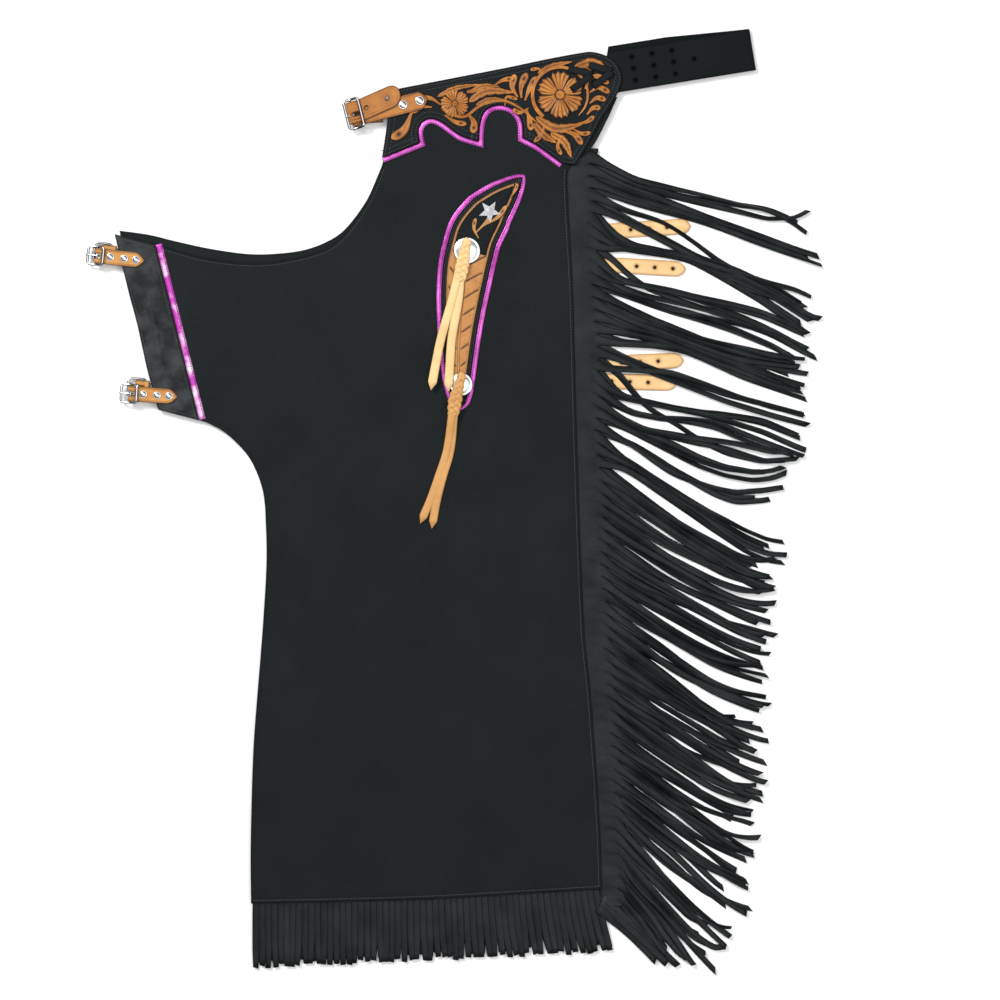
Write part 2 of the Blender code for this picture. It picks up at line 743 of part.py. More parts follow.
def turned(name, finish_name, place, profile, sides, seat=None):
    """Turns a profile of radius and height rows, from the middle of the top to the flat foot."""
    points = [(0.0, 0.0, profile[0][1])]
    faces = []
    for radius, height in profile[1:]:
        for step in range(sides):
            turn = 2.0 * math.pi * step / sides
            points.append((radius * math.cos(turn), radius * math.sin(turn), height))
    for step in range(sides):
        after = (step + 1) % sides
        faces.append((0, 1 + step, 1 + after))
        for ring in range(len(profile) - 2):
            upper = 1 + ring * sides
            lower = upper + sides
            faces.append((upper + step, lower + step, lower + after, upper + after))
    last = 1 + (len(profile) - 2) * sides
    faces.append(tuple(last + step for step in range(sides)))
    piece = add_piece(name, finish_name, points, faces, seat, smooth=True)
    piece.location = Vector(place) * MM
    return piece


def build_conchos(base):
    """Makes the two domed silver conchos that hold the ties."""
    for name, x, y, radius in CONCHOS:
        profile = ((0.0, 2.3), (radius * 0.35, 2.1), (radius * 0.7, 1.3), (radius * 0.86, 0.9),
                   (radius, 0.8), (radius, 0.0))
        turned(name, "nickel", (x, y, base), profile, 16)


def side_line(points, half):
    """Left and right edges of a band on a middle line."""
    return offset(points, half, closed=False), offset(points, -half, closed=False)


def build_ties(base):
    """Makes each braided tie with its two tails, draped from its concho on to the leather."""
    rest = OVERLAY_BASE + 0.2
    for (name, braid), (first, second, fork, width, lift) in zip(BRAIDS, TAILS):
        line = [(x, y) for x, y, across in braid]
        east = []
        west = []
        for (x, y), (far_x, far_y), (_, _, across) in zip(line, offset(line, 1.0, closed=False), braid):
            shift_x = (far_x - x) * across / 2.0
            shift_y = (far_y - y) * across / 2.0
            east.append((x + shift_x, y + shift_y))
            west.append((x - shift_x, y - shift_y))
        outline = east[:1] + west
        for line, inner in ((first, "east"), (second, "west")):
            line = smooth_line([(*point, ROUND) for point in line], 2)
            left, right = side_line(line, width / 2.0)
            tip = Vector(line[-1]) + (Vector(line[-1]) - Vector(line[-2])).normalized() * 7.0
            if inner == "east":
                left = [point for point in left if point[1] < fork[1]]
            else:
                right = [point for point in right if point[1] < fork[1]]
            outline += right + [tuple(tip)] + left[::-1]
            if inner == "east":
                outline.append(fork)
        outline += east[:0:-1]
        top_y = braid[0][1]
        foot_y = braid[-1][1]
        end_y = second[-1][1]
        settle_y = 92.0

        def place(x, y, on_rim):
            along = (top_y - y) / (top_y - foot_y)
            low = base + float(np.interp(along, DRAPE_SHARES, DRAPE_RISES))
            low += float(np.interp(y, (end_y + 7.0, end_y + 24.0), (lift, 0.0)))
            thick = BRAID_THICK if y > foot_y - 1.0 else TAIL_THICK
            if y < settle_y:
                share = min(1.0, (settle_y - y) / 28.0)
                low += (rest - base) * share * share * (3.0 - 2.0 * share)
            return (x, y, low), (x, y, low + thick)
        heights = [top_y - (top_y - foot_y) * share for share in DRAPE_SHARES[1:-1]]
        if lift > 0.0:
            heights += [end_y + 7.0, end_y + 24.0]
        if foot_y < settle_y + 3.0:
            heights += [settle_y, settle_y - 14.0, settle_y - 28.0]
        lines = [((-60.0, y), (60.0, y)) for y in heights]
        add_sheet(name, "lace_leather", outline, place, lines=lines)


def round_hole(x, y, size, sides=8):
    """Outline of a punched hole."""
    turns = [2.0 * math.pi * (step + 0.5) / sides for step in range(sides)]
    return [(x + size / 2.0 * math.cos(turn), y + size / 2.0 * math.sin(turn)) for turn in turns]


def build_straps():
    """Makes the four holed straps that lie on the table below the side fringe."""
    for name, start, tip, first_hole in LEG_STRAPS:
        run = Vector(tip) - Vector(start)
        along = run.normalized()
        across = Vector((-along.y, along.x))
        length = run.length
        half = HOLED_STRAP_WIDTH / 2.0
        rows = [(0.0, -half), (length - 11.0, -half), (length - 4.0, -half * 0.68), (length, 0.0),
                (length - 4.0, half * 0.68), (length - 11.0, half), (0.0, half)]
        holes = []
        place_along = first_hole
        while place_along < length - 14.0:
            holes.append(round_hole(place_along, 0.0, HOLE_SIZE))
            place_along += HOLE_PITCH

        def place(u, v, on_rim):
            spot = Vector(start) + along * u + across * v
            return (spot.x, spot.y, SEAM), (spot.x, spot.y, SEAM + STRAP_THICK)
        add_sheet(name, "strap_leather", rows, place, holes=holes)


def strand(root_low, root_high, tip, width, curve, sway, steps):
    """Outline of one strand from the lower corner of its root round its tip to the upper one."""
    root = (Vector(root_low) + Vector(root_high)) / 2.0
    run = Vector(tip) - root
    line = []
    for step in range(steps + 1):
        t = step / steps
        drop = 1.0 - (1.0 - t) ** curve
        side = sway * math.sin(math.pi * t) * math.sin(2.0 * math.pi * t)
        line.append((root.x + run.x * t, root.y + run.y * drop + side))
    halves = [width / 2.0 * (1.0 - 0.12 * step / steps) for step in range(steps + 1)]
    low = [tuple(root_low)]
    high = [tuple(root_high)]
    for index in range(1, steps + 1):
        before = Vector(line[index - 1])
        after = Vector(line[min(index + 1, steps)])
        along = (after - before).normalized()
        across = Vector((-along.y, along.x)) * halves[index]
        place = Vector(line[index])
        slant = along * (width * 0.35) if index == steps else Vector((0.0, 0.0))
        low.append(tuple(place - across + slant))
        high.append(tuple(place + across))
    return low + high[::-1]


def side_comb(roots, tips, widths, sways, tuck, left_from, left_to, steps):
    """Outline of a strip under the side seam with its strands, which never cross each other."""
    heights = [left_from] + [row[0] for row in SIDE_SEAM if HEM_CLEAR < row[0] < left_from] + [HEM_CLEAR]
    outline = [(side_edge(y, tuck), y) for y in heights]
    outline += [(STRIP_FOOT, HEM_CLEAR - 2.0), (STRIP_FOOT, left_to)]
    outline.append((column(SIDE_SEAM, left_to, 2), left_to))
    for y, tip, width, sway in reversed(list(zip(roots, tips, widths, sways))):
        low = (column(SIDE_SEAM, y - width / 2.0, 2), y - width / 2.0)
        high = (column(SIDE_SEAM, y + width / 2.0, 2), y + width / 2.0)
        outline += strand(low, high, tip, width, column(STRAND_CURVES, y, 1), sway, steps)
    outline.append((column(SIDE_SEAM, left_from, 2), left_from))
    return outline


def tip_of(y, drop, reach):
    """Tip of a side strand that leaves the strip at a height."""
    return column(SIDE_TIPS, y, 1) + reach, column(SIDE_TIPS, y, 2) + drop


def build_side_fringe():
    """Makes the top leg's two rows of side fringe and the under leg's row below them."""
    for row, (name, base, count, first, last, drop, end_drop, reach, clump, gather) in enumerate(SIDE_ROWS):
        noise = np.random.RandomState(11 + row)
        roots = np.linspace(first, last, count)
        tips = []
        for index, y in enumerate(roots):
            share = index / (count - 1)
            fall = drop + (end_drop - drop) * share + noise.uniform(-1.6, 1.6)
            fall += gather * math.sin(2.0 * math.pi * index / clump)
            out = reach + noise.uniform(-9.0, 3.0)
            x, low = tip_of(y, fall, out)
            if tips:
                low = min(low, tips[-1][1] - STRAND_WIDTH - 2.0)
            tips.append((x, low))
        widths = noise.uniform(STRAND_WIDTH - 0.5, STRAND_WIDTH + 0.3, count)
        sways = [2.0 * math.sin(2.0 * math.pi * index / (clump * 1.7)) for index in range(count)]
        ends = (first + 10.0, last - 11.0)
        outline = side_comb(roots, tips, widths, sways, SEAM_ALLOWANCE, *ends, 4)
        add_sheet(name, "black_leather", outline, flat_layer(base, FRINGE_THICK, level))

    noise = np.random.RandomState(29)
    roots = np.concatenate([np.linspace(start, end, count) for start, end, count in UNDER_FRINGE_RUNS])
    tips = []
    for y in roots:
        shorter = -28.0 + noise.uniform(-8.0, 8.0)
        tips.append(tip_of(y, 7.0 + noise.uniform(-3.0, 3.0), shorter))
    widths = [STRAND_WIDTH] * len(roots)
    sways = [0.0] * len(roots)
    outline = side_comb(roots, tips, widths, sways, TUCKED, 380.0, -450.0, 4)
    base = UNDER_FRINGE_BASE
    add_sheet("side_fringe_under", "black_leather", outline, flat_layer(base, FRINGE_THICK, level))


def build_hem_fringe():
    """Makes the short fringe below each leg's hem, the top leg's over the under leg's."""
    start = HEM[-1][0] + 1.6
    end = 152.0
    for row, (name, base, tuck, count, width, sway, lift) in enumerate(HEM_ROWS):
        noise = np.random.RandomState(41 + row)
        pitch = (end - start) / count
        outline = [(x, hem_y(x) + tuck) for x in (end, 87.5, -41.8, start)]
        for index in range(count):
            middle = start + pitch * (index + 0.5)
            left = (middle - width / 2.0, hem_y(middle - width / 2.0) - 1.5)
            right = (middle + width / 2.0, hem_y(middle + width / 2.0) - 1.5)
            low = column(HEM, middle, 2) + lift + noise.uniform(-2.0, 3.0)
            share = index / (count - 1)
            lean = sway * math.sin(2.0 * math.pi * index / 9.0) + 9.0 * share ** 2
            bow = middle + lean * 0.4
            tip = middle + lean * (hem_y(middle) - low) / 68.0
            waist = hem_y(middle) - 34.0
            half = width / 2.0
            cut = noise.uniform(-1.5, 1.5)
            outline += [left, (bow - half, waist), (tip - half, low + cut),
                        (tip + half, low - cut), (bow + half, waist), right]
        outline.append((end, hem_y(end) - 1.5))
        add_sheet(name, "black_leather", outline, flat_layer(base, FRINGE_THICK, level))


def ribbon_place(path, thick, drift):
    """Gives a place function that lays a flat strap along a path of u and z points."""
    stations = [0.0]
    for start, end in zip(path, path[1:]):
        stations.append(stations[-1] + math.dist(start, end))
    ups = offset(path, 1.0, closed=False)

    def place(s, v, on_rim):
        u = float(np.interp(s, stations, [point[0] for point in path]))
        z = float(np.interp(s, stations, [point[1] for point in path]))
        up_u = float(np.interp(s, stations, [point[0] for point in ups])) - u
        up_z = float(np.interp(s, stations, [point[1] for point in ups])) - z
        half = thick / 2.0
        across = v + drift(s)
        return (u - up_u * half, across, z - up_z * half), (u + up_u * half, across, z + up_z * half)
    return stations, place


def wrap_path(back, radius, near, tip):
    """Side view of a strap round a bar: under layer from the back, round the bar, out on top."""
    path = [(back, -near), (6.5, -near), (3.2, -(near + radius) / 2.0 - 0.25)]
    for step in range(7):
        turn = math.radians(-90.0 - 30.0 * step)
        path.append((radius * math.cos(turn), radius * math.sin(turn)))
    path += [(3.2, (near + radius) / 2.0 + 0.25), (6.5, near), (tip, near)]
    return path[::-1]


def build_chape(name, seat, width, thick, bar, tip, back, point, aside=0.0, prong=0.0):
    """Makes the strap that holds a buckle, folded round its bar, with a slot for the prong."""
    radius = bar + SEAM + thick / 2.0
    near = SEAM / 2.0 + thick / 2.0
    path = wrap_path(back, radius, near, tip)
    stations, place = ribbon_place(path, thick, lambda s: aside)
    half = width / 2.0
    end = stations[-1]
    taper = [(0.0, 0.0), (point * 0.2, half * 0.5), (point * 0.55, half * 0.86), (point, half)]
    if point == 0.0:
        taper = [(0.0, half)]
    outline = [(s, -v) for s, v in taper] + [(end, -half), (end, half)]
    outline += [spot for spot in reversed(taper) if spot[1] > 0.0]
    slot_start = stations[1] - 0.5
    slot_end = stations[-2] + 0.5
    middle = prong - aside
    slot = [(slot_start, middle - PRONG_SLOT), (slot_end, middle - PRONG_SLOT),
            (slot_end, middle + PRONG_SLOT), (slot_start, middle + PRONG_SLOT)]
    lines = [((s, -half - 5.0), (s, half + 5.0)) for s in stations[1:-1]]
    add_sheet(name, "tooled_leather", outline, place, seat=seat, holes=(slot,), lines=lines)


def sweep(points, radii, sides, across, closed):
    """Rings of a rod along a path; across is a direction that the path never takes."""
    rings = []
    count = len(points)
    for index, here in enumerate(points):
        before = points[index - 1] if closed or index > 0 else here
        after = points[(index + 1) % count] if closed or index + 1 < count else here
        along = (Vector(after) - Vector(before)).normalized()
        side = along.cross(Vector(across)).normalized()
        up = side.cross(along)
        ring = []
        for step in range(sides):
            turn = 2.0 * math.pi * (step + 0.5) / sides
            shift = side * math.cos(turn) + up * math.sin(turn)
            ring.append(tuple(Vector(here) + shift * radii[index]))
        rings.append(ring)
    flat = [point for ring in rings for point in ring]
    faces = []
    for index in range(count if closed else count - 1):
        start = index * sides
        end = ((index + 1) % count) * sides
        for step in range(sides):
            after = (step + 1) % sides
            faces.append((start + step, start + after, end + after, end + step))
    if not closed:
        faces.append(tuple(range(sides)))
        faces.append(tuple(range(flat_end(count, sides), count * sides)))
    return flat, faces


def flat_end(count, sides):
    """First point of the last ring of a rod."""
    return (count - 1) * sides


def build_frame(name, seat, left, right, right_rise, rail, bar, tilt):
    """Makes a buckle frame with its middle bar, in one body, on the bar's axis."""
    corner = 3.0
    corners = ((right, rail, 1.0, 1.0), (left, rail, -1.0, 1.0), (left, -rail, -1.0, -1.0),
               (right, -rail, 1.0, -1.0))
    loop = []
    for index, (u, v, sign_u, sign_v) in enumerate(corners):
        for step in range(3):
            turn = math.radians(90.0 * index + 45.0 * step)
            loop.append((u - sign_u * corner + corner * math.cos(turn),
                         v - sign_v * corner + corner * math.sin(turn)))
        if index == 0:
            loop.append((0.0, rail))
        if index == 2:
            loop.append((0.0, -rail))

    def bend(u):
        return float(np.interp(u, (left, 0.0, 1.5, right - 1.0, right), (0.3, 0.0, 0.0, right_rise, right_rise)))
    points = [(u, v, bend(u)) for u, v in loop]
    flat, faces = sweep(points, [bar + 0.1] * len(points), 6, (0.0, 0.0, 1.0), closed=True)
    frame = add_piece(name, "nickel", flat, faces, seat, smooth=True)
    ends = [(0.0, -rail, 0.0), (0.0, rail, 0.0)]
    flat, faces = sweep(ends, [bar, bar], 8, (0.0, 0.0, 1.0), closed=False)
    middle_bar = add_piece(name + "_bar_guide", "nickel", flat, faces, seat)
    middle_bar.hide_render = True
    middle_bar.display_type = "WIRE"
    for piece in (frame, middle_bar):
        piece.rotation_euler = (0.0, -tilt, 0.0)
    union = frame.modifiers.new("middle bar", "BOOLEAN")
    union.operation = "UNION"
    union.object = middle_bar
    return frame


def build_prong(name, seat, left, bar, radius, aside, tilt):
    """Makes a prong: an eye round the bar and a tapered shank that rests on the left bar."""
    eye = bar + SEAM + radius
    points = []
    for degrees in range(-120, 91, 30):
        turn = math.radians(degrees)
        points.append((eye * math.cos(turn), aside, eye * math.sin(turn)))
    rest = 0.3 + bar + 0.1 + SEAM + radius
    points += [(left * 0.5, aside, (eye + rest) / 2.0), (left, aside, rest), (left - 1.8, aside, rest - 0.1)]
    radii = [radius] * (len(points) - 2) + [radius * 0.85, radius * 0.55]
    flat, faces = sweep(points, radii, 6, (0.0, 1.0, 0.0), closed=False)
    prong = add_piece(name, "nickel", flat, faces, seat, smooth=True)
    prong.rotation_euler = (0.0, -tilt, 0.0)
    return prong


RIVET = ((0.0, 1.5), (0.45, 1.3), (0.85, 0.6), (1.0, 0.1), (1.0, 0.0))


def build_rivet(name, seat, place, radius):
    """Makes one domed rivet head on its strap."""
    profile = [(share * radius, height) for share, height in RIVET]
    turned(name, "nickel", place, profile, 10, seat)


def build_leg_buckles():
    """Makes the open thigh buckles of both legs with their straps and rivets."""
    near = SEAM / 2.0 + LEG_STRAP_THICK / 2.0
    strap_top = near + LEG_STRAP_THICK / 2.0
    rise = SEAM / 2.0 + LEG_STRAP_THICK + SEAM + BAR_RADIUS + 0.1
    rail = LEG_STRAP_WIDTH / 2.0 + 0.5 + BAR_RADIUS
    for (name, x, y, direction, tip, back, rivets), under in zip(LEG_BUCKLES, UNDER_BUCKLES):
        seat = add_seat("leg_buckle_" + name, (x, y, LEG_BAR_Z), (0.0, 0.0, math.radians(direction)))
        build_chape("leg_chape_" + name, seat, LEG_STRAP_WIDTH, LEG_STRAP_THICK, BAR_RADIUS, tip, back,
                    LEG_STRAP_POINT)
        build_frame("leg_frame_" + name, seat, FRAME_LEFT, FRAME_RIGHT, rise, rail, BAR_RADIUS, FRAME_TILT)
        build_prong("leg_prong_" + name, seat, FRAME_LEFT, BAR_RADIUS, 0.9, 0.0, FRAME_TILT)
        for index, u in enumerate(rivets, start=1):
            build_rivet("leg_rivet_%s_%d" % (name, index), seat, (u, 0.0, strap_top + SEAM), 4.2)

        below, shift_x, shift_y, length = under
        turned_over = (math.pi, 0.0, math.radians(direction))
        seat = add_seat("under_buckle_" + below, (x + shift_x, y + shift_y, UNDER_BAR_Z), turned_over)
        build_chape("under_chape_" + below, seat, LEG_STRAP_WIDTH, LEG_STRAP_THICK, BAR_RADIUS,
                    length, length, 0.0)
        build_frame("under_frame_" + below, seat, FRAME_LEFT, FRAME_RIGHT, rise, rail, BAR_RADIUS, 0.0)
        build_prong("under_prong_" + below, seat, FRAME_LEFT, BAR_RADIUS, 0.9, 0.0, 0.0)


def build_front_strap():
    """Makes the fastened front strap: buckle, its chape on the yoke, and the billet through it."""
    seat = add_seat("front_buckle", FRONT_BAR, (0.0, 0.0, FRONT_ANGLE))
    chape = FRONT_CHAPE
    billet = FRONT_BILLET
    bar = FRONT_BAR_RADIUS
    build_chape("front_chape", seat, chape["width"], chape["thick"], bar, chape["tip"], chape["back"],
                chape["width"] / 2.0, chape["aside"], FRONT_PRONG)
    wrap = bar + SEAM + chape["thick"] + SEAM + billet["thick"] / 2.0
    near = SEAM / 2.0 + chape["thick"] + SEAM + billet["thick"] / 2.0
    path = [(billet["back"], -wrap - 2.4), (12.0, -wrap - 0.8)]
    for step in range(9):
        turn = math.radians(-90.0 - 22.5 * step)
        path.append((wrap * math.cos(turn), wrap * math.sin(turn)))
    path += [(4.0, wrap - 0.5), (7.5, near), (billet["tip"], near)]
    path = path[::-1]

    half = billet["width"] / 2.0
    straight = billet["tip"] - 7.5

    def drift(s):
        return float(np.interp(s, (0.0, straight, straight + 26.0, straight + 60.0), (10.0, 1.4, 0.6, -5.5)))
    stations, place = ribbon_place(path, billet["thick"], drift)
    end = stations[-1]
    tip = [(12.0, -half), (6.0, -half * 0.88), (1.6, -half * 0.5), (0.0, 0.0), (1.6, half * 0.5),
           (6.0, half * 0.88), (12.0, half)]
    outline = [(end, half), (end, -half)][::-1] + [spot for spot in tip[::-1]]
    fold = stations[-7]
    middle = FRONT_PRONG - 0.9
    slot = [(fold - 6.0, middle - PRONG_SLOT), (fold + 0.5, middle - PRONG_SLOT),
            (fold + 0.5, middle + PRONG_SLOT), (fold - 6.0, middle + PRONG_SLOT)]
    holes = [slot, round_hole(straight - 8.0, 0.0, 4.0), round_hole(straight - 33.0, 0.0, 4.0)]
    lines = [((s, -half - 5.0), (s, half + 5.0)) for s in stations[1:-1]]
    lines.append(((straight / 2.0, -half - 5.0), (straight / 2.0, half + 5.0)))
    add_sheet("front_billet", "tooled_leather", outline, place, seat=seat, holes=holes, lines=lines)

    rise = near + billet["thick"] / 2.0 + SEAM + bar + 0.1
    left = -(wrap + billet["thick"] / 2.0 + SEAM + bar + 0.3)
    rail = half + 2.6 + bar
    build_frame("front_frame", seat, left, 9.0, rise, rail, bar, 0.0)
    build_prong("front_prong", seat, left, bar, 1.0, FRONT_PRONG, 0.0)
    top = SEAM / 2.0 + chape["thick"]
    for index, u in enumerate(FRONT_RIVETS, start=1):
        build_rivet("front_rivet_%d" % index, seat, (u, chape["aside"], top + SEAM), 4.9)


def build_belt():
    """Makes the waist belt, folded flat at its right end, with the holes of its top half."""
    drop = (PANEL_BASE + BELT_THICK / 2.0 - SEAM) - BELT_THICK / 2.0
    radius = drop / 2.0
    upper = drop + BELT_THICK / 2.0
    middle = upper - radius
    path = [(0.0, upper), (BELT_LENGTH - radius, upper)]
    for step in range(1, 7):
        turn = math.radians(90.0 - 30.0 * step)
        path.append((BELT_LENGTH - radius + radius * math.cos(turn), middle + radius * math.sin(turn)))
    path.append((2.0, upper - drop))
    half = BELT_WIDTH / 2.0
    fold_length = math.pi * radius

    def drift(s):
        after = (s - BELT_LENGTH + radius + fold_length) / (BELT_LENGTH * 0.55)
        share = min(1.0, max(0.0, after - 0.1))
        return BELT_SHIFT * share
    stations, place = ribbon_place(path, BELT_THICK, drift)
    end = stations[-1]

    def world(s, v, on_rim):
        spots = []
        for u, across, z in place(s, v, on_rim):
            x = BELT_START[0] + u * math.cos(BELT_ANGLE) - across * math.sin(BELT_ANGLE)
            y = BELT_START[1] + u * math.sin(BELT_ANGLE) + across * math.cos(BELT_ANGLE)
            spots.append((x, y, z))
        return spots
    holes = []
    for along, count in BELT_HOLE_COLUMNS:
        for index in range(count):
            across = (index - (count - 1) / 2.0) * BELT_HOLE_PITCH
            holes.append(round_hole(along, across, BELT_HOLE))
    outline = [(0.0, -half), (end, -half), (end, half), (0.0, half)]
    stops = stations[1:-1] + [BELT_LENGTH + share * BELT_LENGTH for share in (0.25, 0.5, 0.75)]
    lines = [((s, -half - 5.0), (s, half + 5.0)) for s in stops]
    add_sheet("back_belt", "black_leather", outline, world, holes=holes, lines=lines)


def build_chaps():
    """Builds every piece, from the under leg up."""
    clear_scene()
    build_under_leg()
    build_top_leg()
    build_yoke()
    build_belt()
    ornament_z = build_leaf()
    build_conchos(ornament_z)
    build_ties(ornament_z)
    build_straps()
    build_side_fringe()
    build_hem_fringe()
    build_leg_buckles()
    build_front_strap()


build_chaps()
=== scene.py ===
import math

import bmesh
import bpy
import numpy as np
from mathutils import Matrix, Vector
from mathutils.geometry import delaunay_2d_cdt

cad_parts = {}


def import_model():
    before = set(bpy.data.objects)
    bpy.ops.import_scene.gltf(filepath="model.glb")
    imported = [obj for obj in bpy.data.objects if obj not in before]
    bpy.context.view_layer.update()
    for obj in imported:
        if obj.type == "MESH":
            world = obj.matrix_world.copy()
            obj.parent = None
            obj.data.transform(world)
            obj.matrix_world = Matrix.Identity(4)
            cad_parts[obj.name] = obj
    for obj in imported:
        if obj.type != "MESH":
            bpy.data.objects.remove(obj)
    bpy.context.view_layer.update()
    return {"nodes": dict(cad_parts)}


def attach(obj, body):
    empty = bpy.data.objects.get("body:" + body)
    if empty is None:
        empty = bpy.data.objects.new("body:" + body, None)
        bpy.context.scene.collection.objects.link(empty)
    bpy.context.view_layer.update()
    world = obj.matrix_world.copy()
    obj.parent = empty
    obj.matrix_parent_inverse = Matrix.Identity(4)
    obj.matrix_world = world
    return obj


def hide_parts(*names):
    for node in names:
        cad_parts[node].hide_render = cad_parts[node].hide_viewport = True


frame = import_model()


# The chaps lie on a plain pale table under soft light, and are seen from straight above.
# The photograph's frame spans 1.1 m and its middle is a little right of the origin.
VIEW_MIDDLE = (0.0506, -0.0011)
VIEW_SPAN = 1.1
VIEW_HEIGHT = 4.0


def add_light(name, place, size, power, goal=(0.0, 0.0, 0.0)):
    """Hangs one soft lamp that faces a point."""
    lamp = bpy.data.lights.new(name, "AREA")
    lamp.shape = "SQUARE"
    lamp.size = size
    lamp.energy = power
    holder = bpy.data.objects.new(name, lamp)
    holder.location = place
    holder.rotation_euler = (Vector(goal) - Vector(place)).to_track_quat("-Z", "Y").to_euler()
    bpy.context.collection.objects.link(holder)


def new_material(name):
    """Starts a material and gives it with its nodes, links and shader."""
    material = bpy.data.materials.new(name)
    material.use_nodes = True
    nodes = material.node_tree.nodes
    return material, nodes, material.node_tree.links, nodes["Principled BSDF"]


def mix_colours(nodes, links, mask, first, second):
    """Blends two colours by a mask; each may be a value or an output."""
    mix = nodes.new("ShaderNodeMix")
    mix.data_type = "RGBA"
    for socket, value in ((mix.inputs[0], mask), (mix.inputs[6], first), (mix.inputs[7], second)):
        if hasattr(value, "is_output"):
            links.new(value, socket)
        elif isinstance(value, tuple):
            socket.default_value = (*value, 1.0)
        else:
            socket.default_value = value
    return mix.outputs[2]


table_material, nodes, links, shader = new_material("pale table")
flecks = nodes.new("ShaderNodeTexNoise")
flecks.inputs["Scale"].default_value = 40.0
links.new(mix_colours(nodes, links, flecks.outputs[0], (0.93, 0.93, 0.93), (0.96, 0.96, 0.96)),
          shader.inputs["Base Color"])
shader.inputs["Roughness"].default_value = 0.9
shader.inputs["Specular IOR Level"].default_value = 0.1
table_mesh = bpy.data.meshes.new("table")
table_mesh.from_pydata([(-4, -4, 0), (4, -4, 0), (4, 4, 0), (-4, 4, 0)], [], [(0, 1, 2, 3)])
table_mesh.materials.append(table_material)
table = bpy.data.objects.new("table", table_mesh)
bpy.context.collection.objects.link(table)

add_light("key lamp", (-1.5, 1.6, 2.2), 0.9, 74.0)
add_light("fill lamp", (1.7, -0.6, 2.0), 1.2, 18.0)
add_light("top lamp", (0.1, 0.2, 3.4), 2.4, 34.0)
world = bpy.data.worlds.new("studio")
world.use_nodes = True
sky = world.node_tree.nodes
facing_up = sky.new("ShaderNodeSeparateXYZ")
world.node_tree.links.new(sky.new("ShaderNodeTexCoord").outputs["Generated"], facing_up.inputs[0])
fade = sky.new("ShaderNodeMapRange")
fade.inputs["From Min"].default_value = 0.1
fade.inputs["From Max"].default_value = 0.95
world.node_tree.links.new(facing_up.outputs["Z"], fade.inputs["Value"])
world.node_tree.links.new(mix_colours(sky, world.node_tree.links, fade.outputs[0], (0.03, 0.03, 0.035), (1.0, 1.0, 1.0)),
                          sky["Background"].inputs["Color"])
sky["Background"].inputs["Strength"].default_value = 0.6
bpy.context.scene.world = world
bpy.context.scene.view_settings.view_transform = "Standard"

camera = bpy.data.objects.new("camera", bpy.data.cameras.new("camera"))
camera.data.sensor_width = 36.0
camera.data.lens = 36.0 * VIEW_HEIGHT / VIEW_SPAN
camera.location = (*VIEW_MIDDLE, VIEW_HEIGHT)
bpy.context.collection.objects.link(camera)
bpy.context.scene.camera = camera


# The under leg is black grain leather with the layers that the fold hides. It lies flat on the
# table, its edges lift a little, and they show two layers. The top leg covers nearly all of it.
MM = 0.001
UNDER_TOP = 4.9
UNDER_RIM = 2.4
UNDER_EDGE = ((0.7, 1.0), (0.25, 0.93), (0.0, 0.8), (0.0, 0.6), (0.45, 0.5), (0.0, 0.4), (0.0, 0.2),
              (0.25, 0.07), (0.7, 0.0))


def cut_lines(node):
    """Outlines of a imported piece's upper face in millimetres; each has the leather on its left."""
    mesh = frame["nodes"][node].data
    ids = {}
    spots = []
    same = []
    for vertex in mesh.vertices:
        key = tuple(round(c * 1e5) for c in vertex.co)
        if key not in ids:
            ids[key] = len(spots)
            spots.append((vertex.co.x / MM, vertex.co.y / MM))
        same.append(ids[key])
    edges = set()
    for face in mesh.polygons:
        if face.normal.z > 0.45:
            ring = [same[i] for i in face.vertices]
            edges.update(zip(ring, ring[1:] + ring[:1]))
    after = {a: b for a, b in edges if (b, a) not in edges}
    loops = []
    while after:
        first, here = after.popitem()
        ring = [first]
        while here != first and here in after:
            ring.append(here)
            here = after.pop(here)
        if len(ring) > 2:
            loops.append(np.array([spots[i] for i in ring]))
    return sorted(loops, key=lambda loop: -np.ptp(loop[:, 0]) - np.ptp(loop[:, 1]))


def soften(loop, step, corner=30.0):
    """Runs an outline through its points in soft curves, with its true corners kept."""
    before = loop - np.roll(loop, 1, 0)
    after = np.roll(loop, -1, 0) - loop
    length = np.hypot(*after.T)
    turn = np.abs(np.arctan2(before[:, 0] * after[:, 1] - before[:, 1] * after[:, 0],
                             (before * after).sum(1)))
    tangent = np.roll(loop, -1, 0) - np.roll(loop, 1, 0)
    tangent /= np.maximum(np.hypot(*tangent.T), 1e-9)[:, None]
    sharp = turn > math.radians(corner)
    points = []
    for i in range(len(loop)):
        j = (i + 1) % len(loop)
        leave = after[i] if sharp[i] else tangent[i] * length[i]
        arrive = after[i] if sharp[j] else tangent[j] * length[i]
        for t in np.arange(max(1, round(length[i] / step))) / max(1, round(length[i] / step)):
            blend = t * t * (3.0 - 2.0 * t)
            swing = t * (1.0 - t)
            points.append(loop[i] + after[i] * blend + swing * ((1.0 - t) * leave - t * arrive))
    return np.array(points)


def shifted(line, distance, closed=True):
    """Moves a line to its left, with its corners mitred."""
    ahead = np.roll(line, -1, 0) - line
    behind = np.roll(ahead, 1, 0)
    if not closed:
        ahead[-1] = behind[-1]
        behind[0] = ahead[0]
    ahead = ahead / np.maximum(np.hypot(*ahead.T), 1e-9)[:, None]
    behind = behind / np.maximum(np.hypot(*behind.T), 1e-9)[:, None]
    share = 1.0 / np.maximum(1.0 + (ahead * behind).sum(1), 0.4)
    normal = np.stack((-(ahead + behind)[:, 1], (ahead + behind)[:, 0]), 1)
    return line + normal * (share * distance)[:, None]


